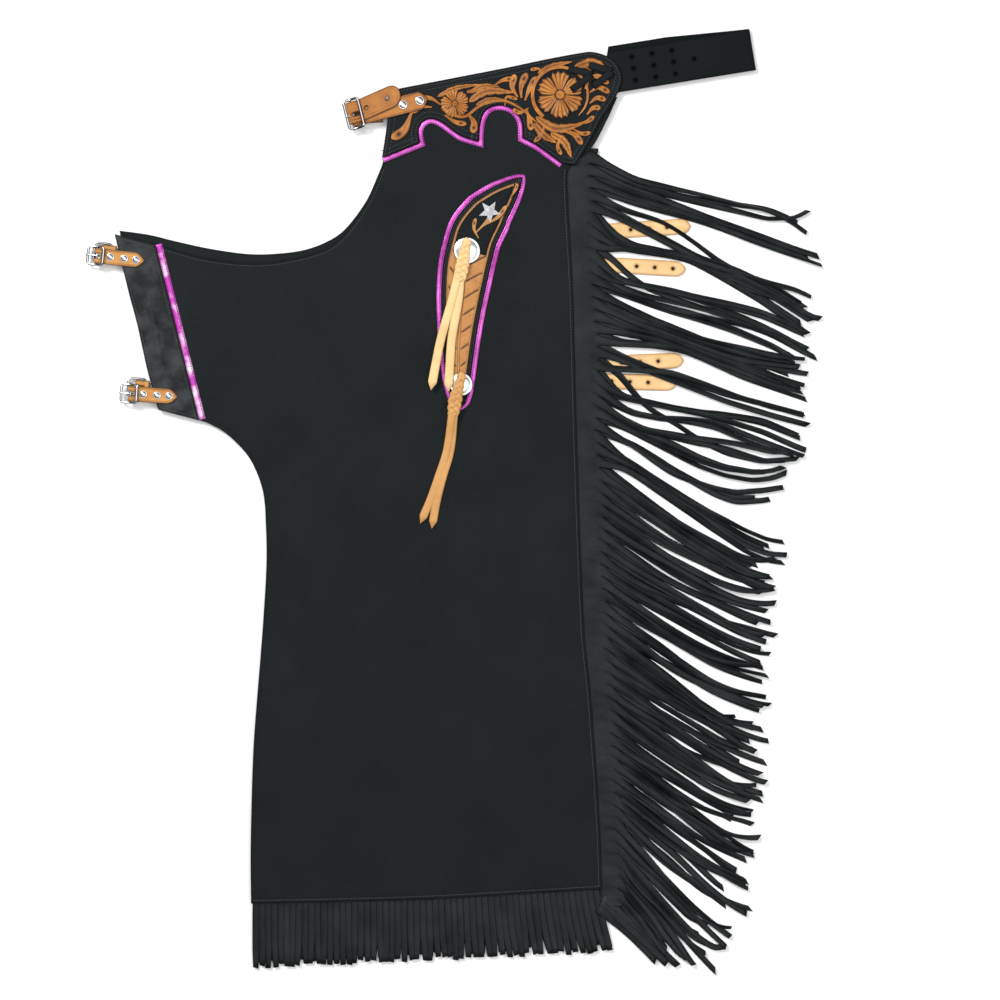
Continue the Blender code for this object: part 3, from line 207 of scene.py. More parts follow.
def within(points, loops):
    """Says which points lie inside the leather."""
    found = np.zeros(len(points), bool)
    x, y = points[:, :1], points[:, 1:]
    for loop in loops:
        ahead = np.roll(loop, -1, 0)
        x0, y0, x1, y1 = loop[:, 0], loop[:, 1], ahead[:, 0], ahead[:, 1]
        rise = np.where(y1 == y0, 1e-12, y1 - y0)
        for start in range(0, len(points), 4000):
            part = slice(start, start + 4000)
            cross = ((y0 > y[part]) != (y1 > y[part])) & (x[part] < (x1 - x0) * (y[part] - y0) / rise + x0)
            found[part] ^= cross.sum(1) % 2 == 1
    return found


def edge_distance(points, loops):
    """Distance from each point to the nearest cut edge."""
    best = np.full(len(points), 1e9)
    for loop in loops:
        run = np.roll(loop, -1, 0) - loop
        square = np.maximum((run ** 2).sum(1), 1e-12)
        for start in range(0, len(points), 3000):
            part = slice(start, start + 3000)
            away = points[part, None, :] - loop[None]
            share = np.clip((away * run).sum(2) / square, 0.0, 1.0)
            gap = np.hypot(*(np.moveaxis(away - share[..., None] * run, 2, 0))).min(1)
            best[part] = np.minimum(best[part], gap)
    return best


def add_piece(name, points, faces, finish, slot, stands_for=(), body="chaps", **values):
    """Makes one piece from points in millimetres, with values that its material reads."""
    mesh = bpy.data.meshes.new(name)
    mesh.from_pydata((np.asarray(points, float) * MM).tolist(), [], faces)
    for label, row in values.items():
        mesh.attributes.new(label, "FLOAT", "POINT").data.foreach_set("value", np.asarray(row, float))
    mesh.materials.append(finish)
    mesh.shade_smooth()
    piece = bpy.data.objects.new(name, mesh)
    bpy.context.collection.objects.link(piece)
    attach(piece, body)
    if stands_for:
        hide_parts(*stands_for)
    return piece


ROUND_EDGE = ((0.5, 1.0), (0.15, 0.93), (0.0, 0.72), (0.0, 0.28), (0.15, 0.07), (0.5, 0.0))


def cut_leather(name, loops, place, finish, slot, stands_for=(), body="chaps", grid=5.0,
                profile=ROUND_EDGE, rows=(), wear_and_shade=1.6, tone=None):
    """Makes one closed piece of leather with rounded edges; place sets each point in space."""
    rims = [[shifted(loop, inset) for inset, height in profile] for loop in loops]
    flat = [point for rim in rims for point in rim[0]]
    low = np.min(flat, 0)
    high = np.max(flat, 0)
    xs = np.arange(low[0] + grid / 2.0, high[0], grid)
    ys = np.arange(low[1] + grid / 2.0, high[1], grid * 0.87)
    web = np.array([(x + (grid / 2.0 if i % 2 else 0.0), y) for i, y in enumerate(ys) for x in xs])
    spare = [web[within(web, loops)]] if len(web) else []
    spare = [part[edge_distance(part, loops) > max(grid * 0.55, profile[0][0] + grid * 0.4)] for part in spare
             if len(part)]
    for row in rows:
        for loop in loops:
            ring = shifted(loop, row)
            ring = ring[within(ring, loops)]
            if len(ring):
                spare.append(ring[edge_distance(ring, loops) > row * 0.97])
    edges = []
    first = 0
    for rim in rims:
        size = len(rim[0])
        edges += [(first + i, first + (i + 1) % size) for i in range(size)]
        first += size
    flat = np.concatenate([np.array(flat)] + [part for part in spare if len(part)])
    result = delaunay_2d_cdt([Vector(point) for point in flat], edges, [], 0, 1e-5)
    spots = np.array([tuple(point) for point in result[0]])
    corners = np.array([face[:3] for face in result[2]])
    placed = {origin: out for out, origins in enumerate(result[3]) for origin in origins}
    rings = []
    first = 0
    for rim in rims:
        rings.append(spots[[placed[first + i] for i in range(len(rim[0]))]])
        first += len(rim[0])
    corners = corners[within(spots[corners].mean(1), rings)]
    a, b, c = (spots[corners[:, i]] for i in range(3))
    turn = (b - a)[:, 0] * (c - a)[:, 1] - (b - a)[:, 1] * (c - a)[:, 0]
    corners = np.where((turn > 0.0)[:, None], corners, corners[:, ::-1])
    used, numbered = np.unique(corners, return_inverse=True)
    numbered = numbered.reshape(corners.shape)
    spots = spots[used]
    renumber = {old: new for new, old in enumerate(used)}
    where = {origin: renumber.get(out) for origin, out in placed.items()}
    count = len(spots)
    flat = [spots, spots]
    heights = [np.ones(count), np.zeros(count)]
    distance = edge_distance(spots, loops)
    depths = [distance, distance]
    faces = numbered.tolist() + (numbered[:, ::-1] + count).tolist()
    total = 2 * count
    first = 0
    for rim in rims:
        size = len(rim[0])
        ring = [where[first + i] for i in range(size)]
        first += size
        for (inset, height), line in zip(profile[1:-1], rim[1:-1]):
            row = list(range(total, total + size))
            total += size
            flat.append(line)
            heights.append(np.full(size, height))
            depths.append(np.full(size, inset))
            faces += [(row[i], row[(i + 1) % size], ring[(i + 1) % size], ring[i]) for i in range(size)]
            ring = row
        row = [where[first - size + i] + count for i in range(size)]
        faces += [(row[i], row[(i + 1) % size], ring[(i + 1) % size], ring[i]) for i in range(size)]
    flat = np.concatenate(flat)
    depths = np.concatenate(depths)
    points = place(flat[:, 0], flat[:, 1], np.concatenate(heights), depths)
    tones = np.ones(len(flat)) if tone is None else tone(flat[:, 0], flat[:, 1], depths)
    # The edge value darkens the rim in the material: partly edge wear, partly painted shade.
    piece = add_piece(name, points, faces, finish, slot, stands_for, body,
                      edge=np.exp(-(depths / wear_and_shade) ** 2), tone=tones)
    shape = bmesh.new()
    shape.from_mesh(piece.data)
    bmesh.ops.recalc_face_normals(shape, faces=shape.faces)
    shape.to_mesh(piece.data)
    shape.free()
    return piece


def effect(name, inputs, outputs):
    """Starts a shader node group with named sockets."""
    group = bpy.data.node_groups.new(name, "ShaderNodeTree")
    for label, value in inputs:
        socket = group.interface.new_socket(name=label, in_out="INPUT", socket_type="NodeSocketFloat")
        socket.default_value = value
    for label in outputs:
        group.interface.new_socket(name=label, in_out="OUTPUT", socket_type="NodeSocketFloat")
    return group, group.nodes.new("NodeGroupInput").outputs, group.nodes.new("NodeGroupOutput").inputs


def calculate(group, kind, first, second=0.5, third=None):
    """Adds one sum to a node group."""
    node = group.nodes.new("ShaderNodeMath")
    node.operation = kind
    for socket, value in zip(node.inputs, (first, second, third)):
        if hasattr(value, "is_output"):
            group.links.new(value, socket)
        elif value is not None:
            socket.default_value = value
    return node.outputs[0]


def texture(group, kind, scale, settings=(), feature=None):
    """Adds a texture on the piece's own coordinates to a node group."""
    place = group.nodes.new("ShaderNodeTexCoord")
    node = group.nodes.new(kind)
    group.links.new(place.outputs["Object"], node.inputs["Vector"])
    if hasattr(scale, "is_output"):
        group.links.new(scale, node.inputs["Scale"])
    else:
        node.inputs["Scale"].default_value = scale
    if feature:
        node.feature = feature
    for label, value in settings:
        node.inputs[label].default_value = value
    return node.outputs[0]


# Pebbled grain: small rounded cells with finer pores and long soft wrinkles
grain_effect, taken, given = effect("leather grain", (("Size", 700.0), ("Pores", 0.3), ("Wrinkles", 0.5)),
                                    ("Height", "Valleys"))
cells = texture(grain_effect, "ShaderNodeTexVoronoi", taken["Size"], (("Randomness", 0.9),), "SMOOTH_F1")
pores = texture(grain_effect, "ShaderNodeTexNoise", 2600.0, (("Detail", 2.0),))
wrinkles = texture(grain_effect, "ShaderNodeTexNoise", 60.0, (("Detail", 5.0), ("Distortion", 0.8)))
raised = calculate(grain_effect, "SUBTRACT", 1.0, cells)
raised = calculate(grain_effect, "MULTIPLY_ADD", pores, taken["Pores"], raised)
grain_effect.links.new(calculate(grain_effect, "MULTIPLY_ADD", wrinkles, taken["Wrinkles"], raised),
                       given["Height"])
grain_effect.links.new(calculate(grain_effect, "POWER", cells, 2.0), given["Valleys"])

# Mottling: cloudy changes of tone from handling and dye
mottle_effect, taken, given = effect("mottled dye", (("Size", 14.0), ("Contrast", 1.0)), ("Tone",))
clouds = texture(mottle_effect, "ShaderNodeTexNoise", taken["Size"], (("Detail", 4.0), ("Roughness", 0.6)))
centred = calculate(mottle_effect, "SUBTRACT", clouds, 0.5)
tone = calculate(mottle_effect, "MULTIPLY_ADD", centred, taken["Contrast"], 0.5)
mottle_effect.links.new(tone, given["Tone"])

# Edge wear and painted shade: the cut edge that each mesh stores, broken up by noise. It darkens each piece's rounded
# rim, partly as worn, dyed edges and partly as painted shade where the rim rolls down to the layer below.
wear_and_shade_effect, taken, given = effect("worn and shaded edges", (("Amount", 1.0), ("Breaks", 0.5)), ("Mask",))
stored = wear_and_shade_effect.nodes.new("ShaderNodeAttribute")
stored.attribute_name = "edge"
chips = texture(wear_and_shade_effect, "ShaderNodeTexNoise", 350.0, (("Detail", 3.0),))
chips = calculate(wear_and_shade_effect, "MULTIPLY_ADD", chips, taken["Breaks"], 0.75)
worn_and_shaded = calculate(wear_and_shade_effect, "MULTIPLY", calculate(wear_and_shade_effect, "MULTIPLY", stored.outputs["Fac"], chips),
                 taken["Amount"])
wear_and_shade_effect.links.new(worn_and_shaded, given["Mask"])


def place_effect(nodes, group, **values):
    """Places a node group in a material with its own values."""
    node = nodes.new("ShaderNodeGroup")
    node.node_tree = group
    for label, value in values.items():
        node.inputs[label].default_value = value
    return node.outputs


def leather_finish(name, dark, light, edge, rough=(0.5, 0.7), grain=700.0, bump=0.35, wrinkles=0.5,
                   clouds=14.0, contrast=1.4, wear_and_shade=1.0, gloss=0.3, coat=0.0):
    """Makes one dyed leather: mottled colour, edges darkened partly by wear and partly by painted shade, grain in the
    bump and the roughness.
    """
    material, nodes, links, shader = new_material(name)
    tone = place_effect(nodes, mottle_effect, Size=clouds, Contrast=contrast)["Tone"]
    mask = place_effect(nodes, wear_and_shade_effect, Amount=wear_and_shade)["Mask"]
    surface = place_effect(nodes, grain_effect, Size=grain, Wrinkles=wrinkles)
    colour = mix_colours(nodes, links, tone, dark, light)
    links.new(mix_colours(nodes, links, mask, colour, edge), shader.inputs["Base Color"])
    spread = nodes.new("ShaderNodeMapRange")
    spread.inputs["To Min"].default_value, spread.inputs["To Max"].default_value = rough
    links.new(surface["Valleys"], spread.inputs["Value"])
    links.new(spread.outputs[0], shader.inputs["Roughness"])
    height = nodes.new("ShaderNodeBump")
    height.inputs["Strength"].default_value = bump
    height.inputs["Distance"].default_value = 0.0004
    links.new(surface["Height"], height.inputs["Height"])
    links.new(height.outputs[0], shader.inputs["Normal"])
    shader.inputs["Specular IOR Level"].default_value = gloss
    shader.inputs["Coat Weight"].default_value = coat
    shader.inputs["Coat Roughness"].default_value = 0.35
    return material


black_grain = leather_finish("black grain leather", (0.0062, 0.0082, 0.0090), (0.0115, 0.0145, 0.0158),
                             (0.004, 0.005, 0.0055), rough=(0.4, 0.72), bump=1.3, gloss=0.06)


def under_place(x, y, h, d):
    """The under leg's leather: its foot rests on the table and its rim lifts."""
    share = np.clip(d / 5.0, 0.0, 1.0)
    low = UNDER_RIM * (1.0 - share * share * (3.0 - 2.0 * share))
    return np.stack((x, y, low + (UNDER_TOP - low) * h), 1)


under_leg = cut_leather("under_leg_leather", [soften(loop, 5.0) for loop in cut_lines("leg_under")],
                        under_place, black_grain, "black_leather", ("leg_under",), grid=9.0,
                        profile=UNDER_EDGE, rows=(2.5, 5.0, 8.0))


# The side fringe is cut from strips of thin black leather that are sewn into the side seam. The
# top leg has two rows, one over the other, and the under leg one. Each strand is cut free from
# the slit line on, then bends, rolls a little and lies over its neighbours.
SEAM_ALLOWANCE = 7.7
TUCKED = 8.5
STRAND_WIDTH = 6.3
FRINGE_THICK = 1.05
STRIP_FOOT = 160.6
HEM_CLEAR = -421.0
SIDE_SEAM = (      # y, edge of the panel, start of the slits
    (390.0, 150.5, 156.0), (380.0, 140.0, 153.2), (366.0, 128.5, 150.5), (355.0, 124.3, 149.5),
    (230.0, 130.4, 154.0), (54.0, 135.3, 156.4), (-142.0, 143.0, 164.5), (-216.0, 150.2, 170.0),
    (-304.0, 156.8, 176.0), (-367.0, 160.6, 179.0), (-428.5, 162.8, 181.5), (-446.0, 163.0, 182.0))
SIDE_TIPS = (      # root height, x and y of the tip
    (376.0, 402.0, 283.0), (345.0, 405.0, 263.0), (292.0, 396.0, 202.0), (250.0, 396.0, 169.0),
    (205.0, 396.0, 133.0), (160.0, 391.0, 100.0), (120.0, 387.0, 62.0), (92.0, 369.0, 30.0), (84.0, 369.0, 3.0),
    (76.0, 366.0, -48.0), (50.0, 366.0, -66.0), (-10.0, 356.0, -112.0), (-50.0, 353.0, -148.0),
    (-90.0, 352.0, -190.0), (-144.0, 345.0, -252.0), (-215.0, 341.0, -318.0), (-298.0, 337.0, -402.0),
    (-330.0, 330.0, -438.0), (-350.0, 322.0, -472.0), (-377.0, 300.0, -508.0), (-400.0, 286.0, -517.0),
    (-420.0, 264.0, -517.0), (-446.0, 238.0, -511.0))
SIDE_ROWS = (      # name, base, strands, first and last root, drops, reach, clump length, clumping
    ("side_fringe_a", 3.85, 62, 375.0, -437.0, 3.0, 2.0, 1.0, 7.0, 3.6),
    ("side_fringe_b", 2.50, 62, 368.5, -441.0, -3.0, 0.0, -3.0, 9.0, 3.6))
FOOT_STRANDS = (   # the last strands, cut from the upper strip's foot: root and tip
    ((157.5, -450.5), (222.0, -508.0)), ((160.0, -444.0), (234.0, -511.0)), ((163.5, -437.5), (246.0, -513.0)))
UNDER_RUNS = ((372.0, 356.0, 2), (236.0, 205.0, 4), (98.0, -428.0, 28))
STRAND_CURVES = ((-440.0, 1.05), (-300.0, 1.2), (100.0, 1.45), (240.0, 1.6), (380.0, 2.5))
# Half a strand's section, from its left edge over its crowned back: share of width, height
SECTION = ((-1.0, 0.28), (-0.86, 0.62), (-0.45, 0.95), (0.0, 1.05), (0.45, 0.95), (0.86, 0.62), (1.0, 0.28),
           (0.8, 0.02), (0.0, 0.12), (-0.8, 0.02))

fringe_leather = leather_finish("black fringe leather", (0.0050, 0.0066, 0.0073), (0.0150, 0.0185, 0.0200),
                                (0.0015, 0.002, 0.0022), rough=(0.28, 0.46), grain=800.0, bump=0.7,
                                wrinkles=1.0, clouds=30.0, contrast=2.8, gloss=0.13)


def column(rows, value, index):
    """Reads a column of a table at a value of its first column."""
    ordered = sorted(rows)
    return np.interp(value, [row[0] for row in ordered], [row[index] for row in ordered])


def add_strand(body, line, halves, lift, roll, thick=FRINGE_THICK, blunt=1.6, crowned=None):
    """Adds one strand along a flat line, lifted, rolled and crowned as its rows say."""
    first = len(body[0])
    size = len(SECTION)
    steps = len(line)
    ahead = np.gradient(line, axis=0)
    ahead /= np.maximum(np.hypot(*ahead.T), 1e-9)[:, None]
    for i in range(steps):
        side = np.array((-ahead[i, 1], ahead[i, 0]))
        for across, height in SECTION:
            if crowned is not None:
                height = height * crowned[i] + (1.0 - crowned[i]) * (0.9 if height > 0.2 else 0.1)
            v = across * halves[i]
            z = (height - 0.5) * thick
            v, z = v * math.cos(roll[i]) - z * math.sin(roll[i]), v * math.sin(roll[i]) + z * math.cos(roll[i])
            slant = ahead[i] * (blunt * across if i == steps - 1 else 0.0)
            x, y = line[i] + side * v - slant
            body[0].append((x, y, max(lift[i] + z, 0.15)))
            # Strand edges get the edge value: partly edge wear, partly painted shade between overlapping strands.
            body[2].append(1.0 if abs(across) > 0.95 else 0.35 if abs(across) > 0.8 else 0.0)
    for i in range(steps - 1):
        start = first + i * size
        for k in range(size):
            n = (k + 1) % size
            body[1].append((start + k, start + size + k, start + size + n, start + n))
    body[1].append(tuple(first + k for k in range(size)))
    body[1].append(tuple(first + (steps - 1) * size + k for k in reversed(range(size))))


BUNDLES = [        # first and last root, how far the strands gather, path of the middle (none: plain)
    (392.0, 372.0, 0.0, ((152, 378), (199, 354), (250, 341), (318, 328), (346, 323), (372, 311), (392, 296), (402, 283))),
    (372.0, 365.0, 0.0, ((152, 369), (199, 345), (250, 331), (300, 317), (345, 304), (375, 305), (390, 314), (397, 326))),
    (365.0, 338.0, 0.3, ((152, 352), (190, 335), (230, 322), (262, 312), (300, 299), (340, 285), (370, 274), (405, 262))),
    (338.0, 332.0, 0.0, ((151, 336), (190, 316), (228, 302), (250, 289), (290, 264), (320, 251), (345, 245), (375, 238), (396, 227))),
    (332.0, 318.0, 0.5, ((151, 325), (182, 311), (205, 299), (240, 281), (270, 264), (307, 250), (350, 228), (396, 200))),
    (318.0, 312.0, 0.0, ((151, 316), (165, 303), (180, 288), (200, 277), (230, 271), (256, 263), (300, 243), (345, 226), (396, 203))),
    (312.0, 279.0, 0.88, ((151, 295), (165, 285), (180, 278), (200, 274), (230, 270), (256, 265), (290, 249), (340, 226), (396, 189))),
    (279.0, 273.0, 0.0, ((151, 276), (172, 266), (189, 249), (211, 233), (250, 218), (300, 200), (350, 182), (396, 162))),
    (273.0, 252.0, 0.85, ((151, 262), (165, 250), (180, 241), (200, 236), (240, 228), (290, 214), (340, 198), (396, 172))),
    (252.0, 232.0, 0.45, ((151, 242), (180, 230), (220, 218), (260, 207), (310, 190), (350, 175), (396, 152))),
    (232.0, 206.0, 0.35, None), (206.0, 186.0, 0.5, ((151, 196), (190, 183), (230, 174), (270, 160), (320, 145), (360, 130), (396, 118))),
    (186.0, 172.0, 0.6, ((152, 179), (180, 172), (221, 166), (257, 159), (300, 145), (340, 130), (396, 106))),
    (172.0, 160.0, 0.4, ((151, 166), (181, 156), (221, 140), (248, 129), (300, 108), (350, 93), (394, 82))),
    (160.0, 152.0, 0.0, ((151, 158), (157, 155), (184, 135), (193, 121), (213, 100), (247, 82), (270, 66), (300, 50), (340, 41), (383, 45))),
    (152.0, 146.0, 0.0, ((151, 148), (165, 141), (200, 139), (240, 137), (270, 128), (310, 113), (350, 100), (392, 92))),
    (146.0, 126.0, 0.88, ((151, 136), (165, 123), (180, 113), (200, 108), (240, 100), (290, 92), (340, 80), (386, 60))),
    (126.0, 112.0, 0.5, ((151, 119), (173, 105), (195, 92), (228, 84), (260, 82), (290, 80), (340, 62), (385, 47))),
    (112.0, 99.0, 0.5, ((152, 106), (180, 88), (210, 75), (240, 71), (300, 60), (350, 48), (384, 51))),
    (99.0, 85.0, 0.6, ((153, 92), (190, 78), (237, 56), (270, 38), (298, 26), (328, 20), (350, 22), (369, 30))),
    (85.0, 72.0, 0.6, ((154, 79), (200, 57), (240, 30), (286, 7), (310, -2), (340, -2), (369, 3))),
    (72.0, 40.0, 0.55, ((155, 56), (200, 33), (240, 6), (280, -22), (320, -46), (345, -56), (366, -58)))]
bunches = np.random.RandomState(77)
while BUNDLES[-1][1] > -460.0:
    BUNDLES.append((BUNDLES[-1][1], BUNDLES[-1][1] - bunches.uniform(16.0, 48.0), bunches.uniform(0.05, 0.4), None))


def bundle_path(first, last, points, x, curve):
    """Heights along the middle of a bundle."""
    if points:
        return np.interp(x, [point[0] for point in points], [point[1] for point in points])
    middle = (first + last) / 2.0
    start = column(SIDE_SEAM, middle, 2)
    t = np.clip((x - start) / (column(SIDE_TIPS, middle, 1) - start), 0.0, 1.0)
    return middle + (column(SIDE_TIPS, middle, 2) - middle) * (1.0 - (1.0 - t) ** curve)


def smooth_step(value):
    """Rises softly from nothing to one."""
    value = np.clip(value, 0.0, 1.0)
    return value * value * (3.0 - 2.0 * value)


def side_strand(body, noise, root_y, tip, width, pitch, curve, sway, base, order):
    """Adds one side strand from the strip to its tip, with its own bend, roll and curl."""
    first, last, gather, points = next(row for row in BUNDLES if row[1] <= root_y)
    root = np.array((column(SIDE_SEAM, root_y, 2), root_y))
    t = np.linspace(0.0, 1.0, 34)
    end = tip[0] + noise.uniform(-14.0, 2.0)
    x = root[0] + (end - root[0]) * t
    middle = bundle_path(first, last, points, x, curve)
    middle[1:-1] = (middle[:-2] + 2.0 * middle[1:-1] + middle[2:]) / 4.0
    if points:
        hold = smooth_step((t - 0.005) / 0.16) * (1.0 - 0.75 * smooth_step((t - 0.46) / 0.44))
    else:
        hold = smooth_step((t - 0.12) / 0.6) * (1.0 - 0.5 * smooth_step((t - 0.8) / 0.2))
    y = middle + (root_y - middle[0]) * (1.0 - gather * hold)
    sharp = noise.choice((-1.0, 1.0, 0.3)) * noise.uniform(0.0, 9.0) if not points else noise.uniform(-2.0, 2.0)
    loose = 0.35 if points and gather > 0.8 else 1.0
    y += noise.uniform(-3.4, 3.4) * loose * np.sin(math.pi * smooth_step(t / 0.9)) ** 2
    y += (sway * 0.5 + noise.uniform(-1.4, 1.4)) * loose * np.sin(2.0 * math.pi * t) * smooth_step(t / 0.3)
    y += sharp * smooth_step((t - 0.62) / 0.38) + noise.uniform(-6.0, 6.0) * smooth_step((t - 0.3) / 0.7)
    y += (0.0 if points else 1.0) * noise.choice((0.0, 0.0, 1.0)) * noise.uniform(4.0, 14.0) * np.clip((t - 0.75) / 0.25, 0.0, 1.0) ** 1.6
    line = np.stack((x, np.maximum(y, -521.0)), 1)
    slope = (line[1, 1] - line[0, 1]) / (line[1, 0] - line[0, 0])
    back = (root[0] - column(SIDE_SEAM, root_y, 1) + 5.0) * np.array((1.0, 0.8, 0.6, 0.4, 0.2))
    lead = np.stack((root[0] - back, root_y - slope * back * 0.6), 1)
    line = np.concatenate((lead, line))
    width += 0.0 if points else 1.1 * (1.0 - t)
    halves = np.concatenate((np.full(5, pitch / 2.0 - 0.05), width / 2.0 * (1.0 - 0.14 * t)))
    halves[5:] += (pitch - width) / 2.0 * np.exp(-(t / 0.05) ** 1.5)
    phase = noise.uniform(0.0, 2.0 * math.pi)
    lean = noise.uniform(0.15, 0.95) * np.sin(phase + noise.uniform(2.0, 6.5) * t) * np.clip(t / 0.16, 0.0, 1.0)
    sag = (base - 1.7) * 0.55 * np.clip((t - 0.08) / 0.4, 0.0, 1.0) if base > 2.0 else 0.0 * t
    wave = 0.5 * np.sin(phase + 7.0 * t) * np.clip(t / 0.2, 0.0, 1.0) + order * 0.6 * np.clip(t / 0.3, 0.0, 1.0)
    middle = base + FRINGE_THICK / 2.0
    lift = np.concatenate((np.full(5, middle + 0.1), middle + 0.1 - sag + wave))
    lift = np.maximum(lift, 0.3 + FRINGE_THICK / 2.0)
    crowned = np.concatenate(((0.05, 0.08, 0.14, 0.3, 0.55), np.clip(0.8 + 4.0 * t, 0.0, 1.0)))
    add_strand(body, line, halves, lift, np.concatenate((np.zeros(5), lean)), blunt=noise.uniform(-3.0, 3.5),
               crowned=crowned)


def add_strip(name, tuck, top, foot, base):
    """Outline and place of the uncut strip that the strands leave."""
    heights = [top] + [row[0] for row in SIDE_SEAM if HEM_CLEAR < row[0] < top] + [HEM_CLEAR]
    ring = [(column(SIDE_SEAM, y, 1) - tuck, y) for y in heights]
    ring += [(STRIP_FOOT, HEM_CLEAR - 2.0), (STRIP_FOOT, foot)]
    ring += [(column(SIDE_SEAM, y, 2) + 4.5, y) for y in np.linspace(foot, top, 60)]
    ring = np.array(ring)

    def place(x, y, h, d):
        start = column(SIDE_SEAM, y, 2) - 5.0 + 3.0 * np.sin(y * 0.9) + 2.0 * np.sin(y * 2.3 + 1.0)
        fade = np.clip((x - start) / 9.0, 0.0, 1.0)
        wave = 0.3 + 0.25 * np.sin(y * 0.21 + 1.0) + 0.2 * np.sin(y * 0.47)
        swell = wave * np.clip((x - column(SIDE_SEAM, y, 1) - 1.0) / 7.0, 0.0, 1.0)
        top = FRINGE_THICK + 0.12 + swell - (1.0 + swell) * fade * fade * (3.0 - 2.0 * fade)
        return np.stack((x, y, base + top * h), 1)
    return [soften(ring, 4.0)], place


def join_fringe(name, strip, body, base, slot="black_leather", rows=()):
    """Joins a strip and its strands in one piece."""
    loops, place = strip
    piece = cut_leather(name + "_leather", loops, place, fringe_leather, slot, (name,), grid=2.6)
    shape = bmesh.new()
    shape.from_mesh(piece.data)
    edge = shape.verts.layers.float["edge"]
    spots = []
    for point, worn_and_shaded in zip(body[0], body[2]):
        spot = shape.verts.new(Vector(point) * MM)
        spot[edge] = worn_and_shaded
        spots.append(spot)
    for face in body[1]:
        shape.faces.new([spots[i] for i in face]).smooth = True
    shape.to_mesh(piece.data)
    shape.free()
    return piece


for row, (name, base, count, first, last, drop, end_drop, reach, clump, gather) in enumerate(SIDE_ROWS):
    noise = np.random.RandomState(11 + row)
    own = np.random.RandomState(311 + row)
    roots = np.linspace(first, last, count)
    tips = []
    for index, y in enumerate(roots):
        share = index / (count - 1)
        fall = drop + (end_drop - drop) * share + noise.uniform(-1.6, 1.6)
        fall += gather * math.sin(2.0 * math.pi * index / clump)
        out = reach + noise.uniform(-9.0, 3.0)
        low = column(SIDE_TIPS, y, 2) + fall
        tips.append((column(SIDE_TIPS, y, 1) + out, low))
    widths = noise.uniform(STRAND_WIDTH - 0.5, STRAND_WIDTH + 0.3, count)
    body = ([], [], [])
    for index, (y, tip) in enumerate(zip(roots, tips)):
        bunch = 3.4 * math.sin(2.0 * math.pi * index / (clump * 0.9) + row)
        side_strand(body, own, y, (tip[0], tip[1] + bunch), widths[index] + 0.9, (first - last) / (count - 1),
                    column(STRAND_CURVES, y, 1),
                    2.0 * math.sin(2.0 * math.pi * index / (clump * 1.7)), base, index % 3)
    if name == "side_fringe_a":
        for order, (root, tip) in enumerate(FOOT_STRANDS):
            t = np.linspace(0.0, 1.0, 16)
            line = np.outer(1.0 - t, root) + np.outer(t, tip)
            line[:, 1] += (3.5 - 1.5 * order) * np.sin(math.pi * t)
            lift = base + FRINGE_THICK / 2.0 + 0.8 + (0.45 * (order % 2) - 1.6 * smooth_step(t / 0.6)) * np.minimum(5.0 * t, 1.0)
            add_strand(body, line, 4.5 - 0.7 * t, lift, 0.12 * np.sin(2.0 * order + 4.0 * t), blunt=2.0 - 1.5 * order,
                       crowned=np.full(16, 0.5))
    strip = add_strip(name, SEAM_ALLOWANCE, first + 10.0, last - 11.0, base)
    join_fringe(name, strip, body, base)

noise = np.random.RandomState(29)
own = np.random.RandomState(329)
roots = np.concatenate([np.linspace(start, end, count) for start, end, count in UNDER_RUNS])
body = ([], [], [])
for y in roots:
    shorter = -26.0 + noise.uniform(-8.0, 8.0)
    tip = (column(SIDE_TIPS, y, 1) + shorter, column(SIDE_TIPS, y, 2) + 7.0 + noise.uniform(-3.0, 3.0))
    side_strand(body, own, y, tip, STRAND_WIDTH + 1.0, 9.0, column(STRAND_CURVES, y, 1), 0.0, 0.8, 0)
strip = add_strip("side_fringe_under", TUCKED, 380.0, -450.0, 0.8)
join_fringe("side_fringe_under", strip, body, 0.8)


# The hem fringe is a short comb of the same thin leather below each hem. It hangs straight, with
# narrow gaps near the tips, and the under leg's comb shows between the top leg's strands.
HEM = ((162.8, -428.5, -497.5), (87.5, -432.9, -500.5), (-41.8, -440.0, -507.0), (-222.8, -444.4, -515.0))
HEM_ROWS = (("hem_fringe", 3.85, 7.7, 56, 5.9, 0.7, 0.0, (0.382, 0.095), 0.034),
            ("hem_fringe_under", 0.8, 8.5, 33, 6.4, -1.4, 5.0, (0.380, 0.089), 0.029))

